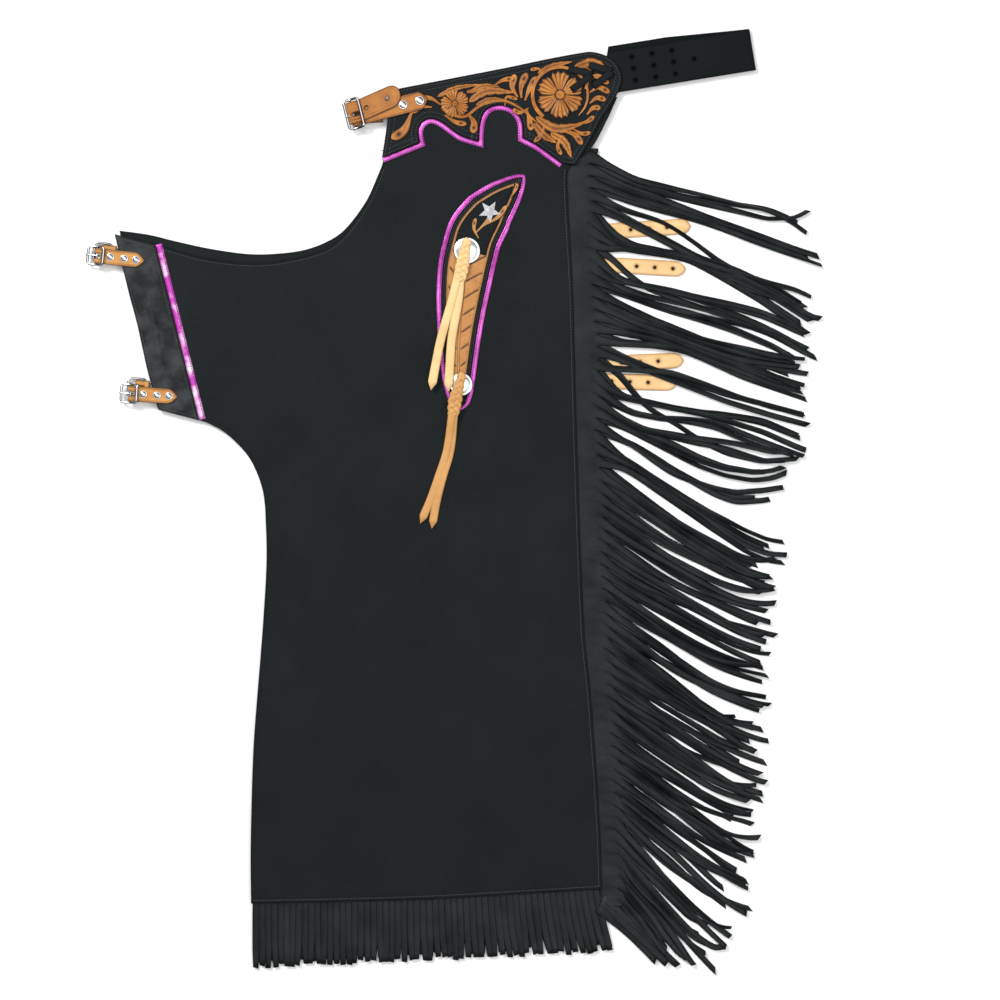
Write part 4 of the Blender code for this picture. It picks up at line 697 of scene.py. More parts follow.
start = HEM[-1][0] + 1.6
end = 159.0
for row, (name, base, tuck, count, width, sway, raise_tip, flat, area) in enumerate(HEM_ROWS):
    noise = np.random.RandomState(41 + row)
    own = np.random.RandomState(341 + row)
    pitch = (end - start) / count
    body = ([], [], [])
    for index in range(count):
        middle = start + pitch * (index + 0.5)
        seam = column(HEM, middle, 1)
        low = column(HEM, middle, 2) + raise_tip + noise.uniform(-2.0, 3.0)
        share = index / (count - 1)
        lean = sway * math.sin(2.0 * math.pi * index / 9.0) + 17.0 * share ** 3
        cut = noise.uniform(-1.5, 1.5)
        t = np.linspace(0.0, 1.0, 14)
        part = 1.6 * np.clip((t - 0.62) / 0.38, 0.0, 1.0) ** 1.3 * math.sin(1.9 * index + 2.0 * math.sin(0.7 * index))
        x = middle + lean * t ** 1.4 * (seam - low) / 68.0 + part
        line = np.stack((x, seam + 5.0 + (low - seam - 5.0) * t), 1)
        phase = own.uniform(0.0, 6.3)
        grow = np.clip(t / 0.3, 0.0, 1.0)
        halves = pitch / 2.0 + 0.35 * grow - 0.75 * np.clip((t - 0.72) / 0.28, 0.0, 1.0)
        lift = base + FRINGE_THICK / 2.0 + (0.12 * np.sin(phase + 3.0 * t) + 0.3 * (index % 2)) * grow
        if base > 2.0:
            lift = lift - 1.1 * np.clip((t - 0.25) / 0.75, 0.0, 1.0) ** 1.5
        lift = np.maximum(lift, 0.3 + FRINGE_THICK / 2.0)
        add_strand(body, line, halves, lift, own.uniform(0.02, 0.1) * np.sin(phase + 2.0 * t) * grow,
                   blunt=cut * 0.6, crowned=np.full(14, 0.35))
    xs = np.linspace(end, start, 30)
    ring = [(x, column(HEM, x, 1) + tuck) for x in xs] + [(x, column(HEM, x, 1) + 0.5) for x in xs[::-1]]

    def strip_place(x, y, h, d):
        return np.stack((x, y, base + (FRINGE_THICK - 0.1) * h), 1)
    piece = join_fringe(name, ([soften(np.array(ring), 5.0)], strip_place), body, base)


# The top leg is one panel of soft pebbled leather, two millimetres thick. It lies nearly flat,
# with faint soft folds toward the hem. A stitched line follows its crotch edge, side seam and hem.
PANEL_BASE = 5.2
PANEL_THICK = 2.0
PANEL_TOP = PANEL_BASE + PANEL_THICK
FOLDS = (          # middle, direction, half length, half width, height
    (-150.0, -352.0, 97.0, 85.0, 40.0, 0.8), (-42.0, -360.0, 84.0, 80.0, 38.0, 1.0),
    (68.0, -352.0, 76.0, 80.0, 40.0, 0.8), (-60.0, -190.0, 62.0, 120.0, 50.0, 0.8),
    (-150.0, 120.0, 150.0, 70.0, 48.0, 0.8))
CREASES = (        # narrower soft creases that only the leather's surface shows
    (-185.0, -330.0, 92.0, 90.0, 9.0, 0.8), (-118.0, -372.0, 86.0, 70.0, 8.0, -0.7),
    (-80.0, -340.0, 95.0, 95.0, 10.0, 0.8), (-10.0, -350.0, 82.0, 90.0, 9.0, 0.8),
    (30.0, -375.0, 97.0, 60.0, 8.0, -0.7), (100.0, -330.0, 88.0, 95.0, 10.0, 0.8),
    (60.0, -215.0, 60.0, 80.0, 9.0, 0.6), (-130.0, -170.0, 75.0, 80.0, 10.0, 0.6),
    (-170.0, 25.0, 35.0, 60.0, 9.0, 0.7), (-110.0, 215.0, 120.0, 60.0, 9.0, 0.6),
    (92.0, 60.0, 96.0, 130.0, 9.0, 0.6), (-60.0, -60.0, 98.0, 100.0, 10.0, 0.5))


def folds(x, y, rows=FOLDS):
    """Height of the soft folds above the panel's plane."""
    height = 0.0
    for middle_x, middle_y, direction, half_length, half_width, rise in rows:
        turn = math.radians(direction)
        along = (x - middle_x) * math.cos(turn) + (y - middle_y) * math.sin(turn)
        across = (y - middle_y) * math.cos(turn) - (x - middle_x) * math.sin(turn)
        height = height + rise * np.exp(-((along / half_length) ** 2) - (across / half_width) ** 2)
    return height


def panel_place(x, y, h, d):
    """The top leg's leather, with a slight groove where the stitches pull it in."""
    groove = 0.35 * np.exp(-((d - 3.4) / 1.0) ** 2) * h
    inner = np.clip(d / 15.0, 0.0, 1.0)
    return np.stack((x, y, PANEL_BASE + PANEL_THICK * h + folds(x, y) + folds(x, y, CREASES) * inner - groove), 1)


panel_loops = [soften(loop, 3.0) for loop in cut_lines("leg_panel")]
panel = cut_leather("top_leg_leather", panel_loops, panel_place, black_grain, "black_leather",
                    ("leg_panel",), grid=5.0, rows=(1.6, 2.6, 3.4, 4.2, 5.6))

thread_black, nodes, links, shader = new_material("black thread")
twist = nodes.new("ShaderNodeTexWave")
twist.inputs["Scale"].default_value = 900.0
links.new(mix_colours(nodes, links, twist.outputs["Fac"], (0.012, 0.013, 0.014), (0.085, 0.09, 0.094)),
          shader.inputs["Base Color"])
shader.inputs["Roughness"].default_value = 0.45


def evenly(line, pitch, closed=False):
    """Places and directions at an even pitch along a line."""
    if closed:
        line = np.concatenate((line, line[:1]))
    steps = np.hypot(*np.diff(line, axis=0).T)
    reach = np.concatenate(((0.0,), np.cumsum(steps)))
    count = max(1, int(reach[-1] / pitch))
    stops = (np.arange(count) + 0.5) * reach[-1] / count
    spots = np.stack([np.interp(stops, reach, line[:, i]) for i in (0, 1)], 1)
    ahead = np.stack([np.interp(stops + 0.6, reach, line[:, i]) for i in (0, 1)], 1) - spots
    behind = spots - np.stack([np.interp(stops - 0.6, reach, line[:, i]) for i in (0, 1)], 1)
    ahead = ahead + behind
    return spots, ahead / np.maximum(np.hypot(*ahead.T), 1e-9)[:, None]


def sew(name, lines, top, finish, slot, pitch=3.3, length=2.5, thick=0.6, body="chaps", closed=False):
    """Makes the stitches that show along seam lines, each a short thread sunk at both ends."""
    points = []
    faces = []
    for line in lines:
        spots, ahead = evenly(np.asarray(line, float), pitch, closed)
        heights = top(spots[:, 0], spots[:, 1])
        for (x, y), (ux, uy), z in zip(spots, ahead, heights):
            first = len(points)
            for along, size, sink in ((-1.0, 0.35, 0.5), (-0.55, 0.95, 0.05), (0.55, 0.95, 0.05), (1.0, 0.35, 0.5)):
                for k in range(6):
                    turn = math.pi * k / 3.0
                    side = math.cos(turn) * thick / 2.0 * size
                    rise = math.sin(turn) * thick / 2.0 * size - sink * thick / 2.0 + thick * 0.1
                    points.append((x + ux * along * length / 2.0 - uy * side,
                                   y + uy * along * length / 2.0 + ux * side, z + rise))
            for ring in range(3):
                for k in range(6):
                    a = first + ring * 6
                    n = (k + 1) % 6
                    faces.append((a + k, a + n, a + 6 + n, a + 6 + k))
            faces.append(tuple(first + k for k in reversed(range(6))))
            faces.append(tuple(first + 18 + k for k in range(6)))
    return add_piece(name, points, faces, finish, slot, body=body)


def run_inside(loop, start, end, inset):
    """The part of an outline between two points, moved inward."""
    line = shifted(loop, inset)
    a = int(np.argmin(np.hypot(*(loop - start).T)))
    b = int(np.argmin(np.hypot(*(loop - end).T)))
    return line[a:b + 1] if a <= b else np.concatenate((line[a:], line[:b + 1]))


def panel_top(x, y):
    """Height of the panel's stitched line."""
    return PANEL_TOP + folds(x, y) - 0.3


leg_edge = panel_loops[0]
leg_seams = [run_inside(leg_edge, (-223.0, -441.0), (162.8, -428.5), 3.4),
             run_inside(leg_edge, (162.8, -428.5), (126.0, 362.0), 3.4),
             run_inside(leg_edge, (-80.0, 364.0), (-330.0, 281.0), 3.4)]
sew("top_leg_stitches", leg_seams, panel_top, thread_black, "black_leather", thick=0.75)


# The thigh facing is smoother leather that stiffens the buckle edge, with one long soft crease.
# A strip of pink metallic foil leather is sewn in beside it.
OVERLAY_BASE = 7.5
FACING_THICK = 1.8
CREASE = ((-343.0, 255.0), (-329.0, 190.0), (-318.0, 131.0))

smooth_black = leather_finish("smooth black leather", (0.0045, 0.0055, 0.0065), (0.034, 0.038, 0.043),
                              (0.0035, 0.004, 0.0045), rough=(0.36, 0.58), grain=1100.0, bump=0.16,
                              wrinkles=1.2, clouds=40.0, contrast=4.2, gloss=0.16)


def foil_finish(name, deep, pale, bands, share):
    """Makes crinkled metallic foil on leather, with painted highlight bands: cloudy bands of a pale colour stand in for
    where it turns to the light.
    """
    material, nodes, links, shader = new_material(name)
    tone = place_effect(nodes, mottle_effect, Size=bands, Contrast=share)["Tone"]
    spread = nodes.new("ShaderNodeMapRange")
    spread.inputs["From Min"].default_value = 0.1
    spread.inputs["From Max"].default_value = 0.95
    links.new(tone, spread.inputs["Value"])
    # The foil's edges darken to a deeper pink: partly wear, partly painted shade.
    mask = place_effect(nodes, wear_and_shade_effect, Amount=0.6)["Mask"]
    # Painted highlight: the pale colour, laid in cloudy bands, stands in for light on the crinkles; the rest of the
    # change is the foil's own uneven colour.
    colour = mix_colours(nodes, links, spread.outputs[0], deep, pale)
    links.new(mix_colours(nodes, links, mask, colour, tuple(c * 0.3 for c in deep)),
              shader.inputs["Base Color"])
    surface = place_effect(nodes, grain_effect, Size=900.0, Wrinkles=2.2)
    height = nodes.new("ShaderNodeBump")
    height.inputs["Strength"].default_value = 0.35
    height.inputs["Distance"].default_value = 0.0004
    links.new(surface["Height"], height.inputs["Height"])
    links.new(height.outputs[0], shader.inputs["Normal"])
    shader.inputs["Metallic"].default_value = 0.45
    shader.inputs["Roughness"].default_value = 0.3
    return material


# The pink foil's pale bands are partly its own uneven colour and partly painted highlight; the thigh strip's near-white
# bands are painted highlight.
pink_foil = foil_finish("pink foil", (0.34, 0.018, 0.27), (0.80, 0.16, 0.70), 30.0, 3.2)
highlight_painted_foil = foil_finish("pink foil with painted highlights", (0.42, 0.03, 0.36), (1.0, 0.80, 0.97), 34.0, 4.4)


def crease_depth(x, y):
    """How deep the facing's crease is at a point."""
    spots = np.stack((np.atleast_1d(x), np.atleast_1d(y)), 1)
    best = np.full(len(spots), 1e9)
    share = np.zeros(len(spots))
    for i, (start, end) in enumerate(zip(CREASE, CREASE[1:])):
        start, run = np.array(start), np.array(end) - np.array(start)
        t = np.clip(((spots - start) * run).sum(1) / (run ** 2).sum(), 0.0, 1.0)
        gap = np.hypot(*(spots - start - t[:, None] * run).T)
        share = np.where(gap < best, (i + t) / 2.0, share)
        best = np.minimum(best, gap)
    return np.exp(-(best / 3.0) ** 2) * np.sin(math.pi * np.clip(share, 0.02, 0.98)) ** 0.5


def facing_place(x, y, h, d):
    """The facing's leather: creased, and pulled in at its stitches."""
    swell = 0.5 * np.exp(-((crease_depth(x, y) - 0.35) / 0.25) ** 2)
    dip = 1.5 * crease_depth(x, y) + 0.35 * np.exp(-((d - 3.0) / 0.9) ** 2)
    return np.stack((x, y, OVERLAY_BASE + FACING_THICK * h + (swell - dip) * h), 1)


facing_loops = [soften(loop, 2.5) for loop in cut_lines("thigh_facing")]
facing = cut_leather("thigh_facing_leather", facing_loops, facing_place, smooth_black, "smooth_leather",
                     ("thigh_facing",), grid=3.0, rows=(2.0, 3.0, 4.0))
sew("thigh_facing_stitches", [shifted(facing_loops[0], 3.0)],
    lambda x, y: np.full(len(x), OVERLAY_BASE + FACING_THICK - 0.15), thread_black, "smooth_leather",
    thick=0.8, closed=True)


def lay(base, thick, crown=0.0, waves=None):
    """Gives the place of a piece that lies flat at a height, crowned between its edges."""
    def place(x, y, h, d):
        lift = waves(x, y) if waves else 0.0
        return np.stack((x, y, base + lift + (thick + crown * (1.0 - np.exp(-d / 1.5))) * h), 1)
    return place


strip_loops = [soften(loop, 2.0) for loop in cut_lines("thigh_piping")]
cut_leather("thigh_foil_strip", strip_loops, lay(OVERLAY_BASE, 1.0, 0.5, folds), highlight_painted_foil, "pink_foil",
            ("thigh_piping",), grid=1.6)
strip_ends = ((-271.5, 86.0), (-319.0, 280.0))
strip_edge = max((run_inside(strip_loops[0], *strip_ends, 1.7), run_inside(strip_loops[0], *strip_ends[::-1], 1.7)),
                 key=lambda line: line[:, 0].mean())
thread_pink, nodes, links, shader = new_material("dark pink thread")
twist = nodes.new("ShaderNodeTexWave")
twist.inputs["Scale"].default_value = 900.0
links.new(mix_colours(nodes, links, twist.outputs["Fac"], (0.012, 0.001, 0.009), (0.07, 0.006, 0.05)),
          shader.inputs["Base Color"])
sew("thigh_foil_stitches", [strip_edge], lambda x, y: OVERLAY_BASE + 1.5 + folds(x, y), thread_pink, "pink_foil",
    pitch=2.8, length=1.8, thick=0.95)


# The waist belt is thick black leather with three rows of punched holes. It is folded flat at its
# right end, and the under half shows above the top one.
BELT_START = (158.4, 466.3)
BELT_ANGLE = math.radians(9.2)
BELT_LENGTH = 171.0
BELT_WIDTH = 46.0
BELT_THICK = 2.4
BELT_SHIFT = 6.0
BELT_HOLES = [(along, (index - (count - 1) / 2.0) * 13.0)
              for along, count in ((39.5, 3), (62.0, 3), (84.0, 3), (107.0, 1)) for index in range(count)]


def hole(x, y, size, sides=16):
    """Outline of a punched hole, with the leather on its left."""
    turns = -2.0 * math.pi * np.arange(sides) / sides
    return np.stack((x + size / 2.0 * np.cos(turns), y + size / 2.0 * np.sin(turns)), 1)


def fit_line(rows):
    """Stations along a side view's path, with its points and their upward directions."""
    path = np.array(rows, float)
    ups = shifted(path, 1.0, closed=False) - path
    return np.concatenate(((0.0,), np.cumsum(np.hypot(*np.diff(path, axis=0).T)))), path, ups


def strap_place(rows, thick, drift, world, crown=0.0, outer=1.0):
    """Gives the place of a flat strap that follows a path seen from its side."""
    stations, path, ups = fit_line(rows)

    def place(s, v, h, d):
        u, z = (np.interp(s, stations, path[:, i]) for i in (0, 1))
        up_u, up_z = (np.interp(s, stations, ups[:, i]) for i in (0, 1))
        out = (h - 0.5) * thick + crown * (1.0 - np.exp(-d / 1.5)) * np.where(h > 0.5, h, 0.0)
        out = out * outer
        return world(u + up_u * out, v + drift(s), z + up_z * out)
    return stations[-1], place


def belt_world(u, v, z):
    """Turns the belt's own directions into the frame's."""
    return np.stack((BELT_START[0] + u * math.cos(BELT_ANGLE) - v * math.sin(BELT_ANGLE),
                     BELT_START[1] + u * math.sin(BELT_ANGLE) + v * math.cos(BELT_ANGLE), z), 1)


belt_drop = PANEL_BASE - 0.3
fold = belt_drop / 2.0
belt_rows = [(0.0, belt_drop + 1.2), (BELT_LENGTH - fold, belt_drop + 1.2)]
for step in range(1, 13):
    turn = math.radians(90.0 - 15.0 * step)
    belt_rows.append((BELT_LENGTH - fold + fold * math.cos(turn), 1.2 + fold + fold * math.sin(turn)))
belt_rows.append((2.0, 1.2))
fold_length = math.pi * fold


def belt_drift(s):
    """How far the under half moves up from the top half."""
    return BELT_SHIFT * np.clip((s - BELT_LENGTH + fold + fold_length) / (BELT_LENGTH * 0.55) - 0.1, 0.0, 1.0)


belt_end, belt_place = strap_place(belt_rows, BELT_THICK, belt_drift, belt_world)
half = BELT_WIDTH / 2.0
slant = 14.0          # its hidden end is cut on a slant, and stays behind the yoke
belt_loops = [soften(np.array([(0.0, -half), (belt_end, -half), (belt_end - slant, half), (slant, half)]), 1.2)]
belt_loops += [hole(along, across, 3.9) for along, across in BELT_HOLES]
belt_leather = leather_finish("black belt leather", (0.0050, 0.0064, 0.0070), (0.0095, 0.0120, 0.0130),
                              (0.003, 0.0038, 0.0042), rough=(0.5, 0.7), grain=520.0, bump=0.3,
                              wrinkles=0.3, gloss=0.04)
belt = cut_leather("waist_belt_leather", belt_loops, belt_place, belt_leather, "black_leather",
                   ("back_belt",), grid=2.0)


# The yoke is firm black leather with a carved tan scroll inside its stitched border. Its scalloped
# lower edge is bound with pink foil piping. The carving is raised, burnished dark in its cuts.
YOKE_THICK = 2.4
YOKE_TOP = OVERLAY_BASE + YOKE_THICK
FLOWERS = (        # x, y, radius, petals
    ("yoke_flower_large", 116.6, 443.5, 24.4, 6), ("yoke_flower_small", 1.0, 434.0, 15.4, 5))


def yoke_place(x, y, h, d):
    """The yoke's leather, pulled in along its two rows of stitches."""
    groove = 0.45 * np.exp(-((d - 2.6) / 0.8) ** 2) + 0.55 * np.exp(-((d - 7.4) / 0.8) ** 2)
    sunk = 0.25 * np.clip((d - 8.2) / 1.0, 0.0, 1.0)
    return np.stack((x, y, OVERLAY_BASE + (YOKE_THICK - groove - sunk) * h), 1)


yoke_loops = [soften(loop, 2.0) for loop in cut_lines("yoke")]
yoke = cut_leather("yoke_leather", yoke_loops, yoke_place, black_grain, "black_leather", ("yoke",), grid=2.6,
                   rows=(1.2, 2.0, 2.6, 3.2, 4.4, 6.6, 7.4, 8.2, 9.2))
sew("yoke_stitches", [shifted(yoke_loops[0], 2.6), shifted(yoke_loops[0], 7.4)],
    lambda x, y: np.full(len(x), YOKE_TOP - 0.15), thread_black, "black_leather", pitch=3.1, length=2.1, thick=0.85,
    closed=True)
piping_loops = [soften(loop, 1.5) for loop in cut_lines("yoke_piping")]
cut_leather("yoke_piping_foil", piping_loops, lay(OVERLAY_BASE, 1.0, 0.5), pink_foil, "pink_foil",
            ("yoke_piping",), grid=1.6)
piping_ends = ((-81.0, 369.0), (116.0, 363.5))
piping_line = min((run_inside(piping_loops[0], *piping_ends, 1.5), run_inside(piping_loops[0], *piping_ends[::-1], 1.5)),
                  key=lambda line: line[:, 1].mean())
sew("yoke_piping_stitches", [piping_line], lambda x, y: np.full(len(x), OVERLAY_BASE + 1.4), thread_pink, "pink_foil",
    pitch=2.9, length=1.9, thick=0.95)


def even_line(points, count):
    """Even stations along a soft curve through a few points."""
    points = np.array(points, float)
    rows = np.concatenate((points[:1] * 2.0 - points[1:2], points, points[-1:] * 2.0 - points[-2:-1]))
    line = []
    for i in range(len(points) - 1):
        a, b, c, d = rows[i:i + 4]
        for t in np.arange(10) / 10.0:
            line.append(0.5 * (2.0 * b + (c - a) * t + (2.0 * a - 5.0 * b + 4.0 * c - d) * t ** 2
                               + (3.0 * b - a - 3.0 * c + d) * t ** 3))
    line = np.array(line + [points[-1]])
    reach = np.concatenate(((0.0,), np.cumsum(np.linalg.norm(np.diff(line, axis=0), axis=1))))
    stops = np.linspace(0.0, reach[-1], count)
    return np.stack([np.interp(stops, reach, line[:, i]) for i in range(line.shape[1])], 1)


def normals_of(line):
    """Left-hand directions along a flat line."""
    ahead = np.gradient(line[:, :2], axis=0)
    ahead /= np.maximum(np.hypot(*ahead.T), 1e-9)[:, None]
    return np.stack((-ahead[:, 1], ahead[:, 0]), 1)


def carve_leaf(body, points, half, rise, foot, lobes=0, stem=False):
    """Adds one raised leaf or stem: domed halves, a cut vein, lobed edges and tool marks."""
    points = [point[:2] for point in points]
    count = 30 if stem else 26
    line = even_line(points, count)
    side = normals_of(line)
    t = np.linspace(0.0, 1.0, count)
    width = half * (1.0 - 0.45 * t) if stem else half * (np.sin(math.pi * t ** 0.8) ** 0.7 + 0.16 * (1.0 - t))
    if stem:
        width[-3:] *= (0.9, 0.7, 0.3)
    frond = 0 < lobes < 4
    if frond:
        swell = np.clip(t / 0.78, 0.0, 1.0)
        width = half * (0.3 + 0.7 * swell * swell * (3.0 - 2.0 * swell))
        width *= np.sqrt(np.maximum(0.0, 1.0 - np.clip((t - 0.8) / 0.2, 0.0, 1.0) ** 2) + 0.004)
    elif lobes:
        width = width * (0.82 + 0.26 * np.abs(np.sin(math.pi * lobes * t)) ** 0.6)
    rows = np.array((-1.0, -0.999, -0.9, -0.78, -0.64, -0.5, -0.36, -0.24, -0.12, 0.0,
                     0.12, 0.24, 0.36, 0.5, 0.64, 0.78, 0.9, 0.999, 1.0))
    first = len(body[0])
    size = len(rows)
    for i in range(count):
        for k, v in enumerate(rows):
            dome = math.sqrt(max(0.0, 1.0 - v * v))
            vein = math.exp(-(v / 0.13) ** 2) * (0.5 if stem else 0.85) * min(1.0, 4.0 * (1.0 - t[i]) + 0.1)
            marks = 0.0 if stem else math.sin(2.0 * math.pi * (max(lobes, 4) * t[i] * 2.0 - 0.8 * abs(v)))
            marks *= abs(v) * (1.0 - abs(v)) * 1.6
            flute = 0.0 if stem else math.exp(-(((abs(v) * 2.3) % 1.0 - 0.62) / 0.17) ** 2) * math.sin(math.pi * t[i]) ** 0.5
            if frond:
                eye = math.exp(-((t[i] - 0.76) / 0.11) ** 2 - ((abs(v) - 0.08) / 0.34) ** 2)
                vein = max(0.9 * eye, 0.55 * math.exp(-(v / 0.16) ** 2) * (t[i] < 0.64))
                marks *= 0.3
                flute = 0.0
            z = 0.3 + 0.7 * dome - 0.6 * vein * dome + 0.22 * marks - 0.3 * flute * dome
            z = -0.5 if k in (0, size - 1) else z
            x, y = line[i] + side[i] * width[i] * v
            body[0].append((x, y, foot + rise * z))
            body[2].append(min(1.0, max(0.0, 0.92 - 0.95 * vein - 1.15 * abs(v) ** 3 + 0.3 * marks - 0.6 * flute)))
    for i in range(count - 1):
        for k in range(size - 1):
            a = first + i * size + k
            body[1].append((a, a + size, a + size + 1, a + 1))


def carve_flower(body, x, y, radius, petals, rise, foot):
    """Adds one raised flower: ruffled petals with fine cuts round a beaded middle."""
    rings = np.array((0.0, 0.05, 0.1, 0.15, 0.19, 0.23, 0.3, 0.4, 0.5, 0.6, 0.7, 0.8, 0.88, 0.95, 1.0, 1.001))
    sides = petals * 22
    first = len(body[0])
    for r in rings:
        for k in range(sides):
            turn = 2.0 * math.pi * k / sides
            phase = (k / 22.0) % 1.0
            off = abs(phase - 0.5) * 2.0
            layer = 0.12 if int(k // 22) % 2 else 0.0
            ruffle = 0.05 * math.sin(turn * petals * 4.0) + 0.03 * math.sin(turn * petals * 9.0 + 1.0)
            reach = radius * r * (1.0 + (0.1 * (1.0 - off ** 3) + ruffle - 0.03 - 0.2 * off ** 12) * r)
            gap = math.exp(-((1.0 - off) / 0.13) ** 2)
            cuts = math.sin(turn * petals * 4.5) * (1.0 if 0.25 < r < 0.93 else 0.0)
            if r < 0.21:
                z = 0.75 + 0.45 * (1.0 - (r / 0.21) ** 2) + 0.12 * math.sin(9.0 * turn) * (r > 0.04)
                tone = 0.75 - 0.5 * (r > 0.17)
            else:
                z = 0.35 + (0.62 + layer) * math.sin(math.pi * min(1.0, r) ** 0.8) ** 0.6 * (1.0 - 0.7 * gap)
                z += 0.22 * (r > 0.8) * (1.0 - gap) * math.sin(turn * petals * 4.0) + 0.16 * cuts
                tone = 0.7 - 0.8 * gap + 0.5 * cuts - 0.5 * (r < 0.3) - 0.6 * (r > 0.92)
            z = -0.5 if r > 1.0 else z
            body[0].append((x + reach * math.cos(turn), y + reach * math.sin(turn), foot + rise * z))
            body[2].append(min(1.0, max(0.0, tone)))
    for i in range(len(rings) - 1):
        for k in range(sides):
            n = (k + 1) % sides
            a = first + i * sides
            body[1].append((a + k, a + sides + k, a + sides + n, a + n))


CARVED_LEAVES = (  # from stalk to tip, half width, lobes
    ((-46.0, 425.0), (-54.5, 405.0), (-68.5, 395.5), 6.0, 3), ((-24.0, 430.0), (-36.0, 430.0), (-46.0, 424.0), 3.6, 3),
    ((-18.0, 441.5), (2.0, 450.8), (30.0, 455.0), 3.2, 5), ((-10.0, 421.0), (2.0, 413.5), (14.0, 411.5), 3.6, 3),
    ((15.0, 423.0), (22.0, 413.0), (21.0, 401.5), 5.0, 3), ((17.0, 436.0), (36.0, 447.5), (66.0, 446.0), 5.4, 5),
    ((17.0, 445.5), (32.0, 453.0), (50.0, 452.5), 3.4, 4), ((44.0, 453.5), (54.0, 459.5), (66.0, 461.5), 3.4, 3),
    ((70.0, 441.0), (64.0, 452.0), (67.0, 466.0), 4.6, 3), ((74.0, 440.0), (74.0, 453.0), (80.0, 467.5), 4.6, 3),
    ((78.0, 437.0), (83.0, 450.0), (91.0, 463.5), 4.4, 3), ((82.0, 429.0), (73.0, 424.0), (64.5, 427.5), 3.2, 2),
    ((80.0, 427.0), (83.0, 416.0), (85.0, 404.5), 4.4, 3), ((24.0, 432.0), (40.0, 438.5), (60.0, 437.0), 3.0, 4),
    ((90.0, 419.0), (112.0, 406.5), (142.0, 411.5), 6.0, 6), ((88.0, 412.0), (99.0, 399.0), (113.0, 390.5), 5.0, 4),
    ((106.0, 401.0), (121.0, 392.0), (129.0, 374.5), 5.2, 4), ((118.0, 404.0), (132.0, 400.0), (141.0, 389.0), 4.2, 3),
    ((132.0, 473.5), (154.0, 479.0), (173.0, 464.5), 5.4, 4), ((92.0, 467.0), (108.0, 475.0), (130.0, 480.0), 3.6, 5),
    ((146.0, 457.0), (156.0, 464.0), (170.0, 456.0), 4.4, 3), ((149.0, 446.0), (159.0, 451.5), (171.0, 446.0), 4.0, 3),
    ((149.0, 434.0), (157.0, 440.0), (167.0, 438.0), 3.8, 3), ((146.0, 422.0), (153.0, 429.0), (161.0, 429.0), 3.6, 3),
    ((136.0, 412.0), (146.0, 414.0), (154.0, 420.0), 3.2, 3), ((96.0, 467.5), (93.0, 472.0), (84.0, 471.0), 2.4, 2),
    ((-15.0, 433.0), (-25.0, 439.5), (-37.0, 440.0), 3.4, 3), ((30.0, 441.0), (24.0, 448.0), (14.0, 446.5), 2.2, 3),
    ((56.0, 431.0), (58.0, 441.0), (70.0, 438.5), 2.4, 3), ((100.0, 412.0), (96.0, 400.0), (88.0, 391.5), 3.0, 3),
    ((118.0, 398.0), (114.0, 387.0), (118.0, 377.5), 3.0, 3), ((128.0, 408.0), (140.0, 401.0), (150.0, 402.0), 3.0, 3))
CARVED_STEMS = (
    (((-12.0, 428.0), (10.0, 419.0), (30.0, 432.0), (54.0, 437.0), (74.0, 428.0), (92.0, 412.0)), 2.2),
    (tuple((116.6 + 30.4 * math.cos(math.radians(a)), 443.5 + 30.4 * math.sin(math.radians(a)))
           for a in range(232, -61, -20)), 2.6),
    (((144.5, 450.0), (150.0, 470.0), (134.0, 476.0)), 1.7))
body = ([], [], [])
for *points, half, lobes in CARVED_LEAVES:
    carve_leaf(body, points, half, 1.25, YOKE_TOP - 0.3, lobes)
for points, half in CARVED_STEMS:
    carve_leaf(body, points, half, 1.1, YOKE_TOP - 0.3, stem=True)
for name, x, y, radius, petals in FLOWERS:
    carve_flower(body, x, y, radius, petals, 1.35, YOKE_TOP - 0.3)


def tooled_finish(name, cut, low, high, rough=(0.38, 0.55), grain=1500.0, coat=0.06):
    """Makes carved leather: dark antique dye in the cuts, worn lighter on the raised parts."""
    material, nodes, links, shader = new_material(name)
    stored = nodes.new("ShaderNodeAttribute")
    stored.attribute_name = "tone"
    clouds = place_effect(nodes, mottle_effect, Size=70.0, Contrast=1.6)["Tone"]
    wear_and_shade = place_effect(nodes, wear_and_shade_effect, Amount=0.9)["Mask"]
    surface = place_effect(nodes, grain_effect, Size=grain, Wrinkles=0.4)
    raised = mix_colours(nodes, links, clouds, low, high)
    ramp = nodes.new("ShaderNodeMapRange")
    ramp.inputs["From Min"].default_value = 0.08
    ramp.inputs["From Max"].default_value = 0.72
    links.new(stored.outputs["Fac"], ramp.inputs["Value"])
    colour = mix_colours(nodes, links, ramp.outputs[0], cut, raised)
    # Cut edges darken to the cut colour: partly edge wear, partly painted shade.
    links.new(mix_colours(nodes, links, wear_and_shade, colour, cut), shader.inputs["Base Color"])
    spread = nodes.new("ShaderNodeMapRange")
    spread.inputs["To Min"].default_value, spread.inputs["To Max"].default_value = rough
    links.new(surface["Valleys"], spread.inputs["Value"])
    links.new(spread.outputs[0], shader.inputs["Roughness"])
    height = nodes.new("ShaderNodeBump")
    height.inputs["Strength"].default_value = 0.25
    height.inputs["Distance"].default_value = 0.0003
    links.new(surface["Height"], height.inputs["Height"])
    links.new(height.outputs[0], shader.inputs["Normal"])
    shader.inputs["Specular IOR Level"].default_value = 0.2
    shader.inputs["Coat Weight"].default_value = coat
    shader.inputs["Coat Roughness"].default_value = 0.3
    return material


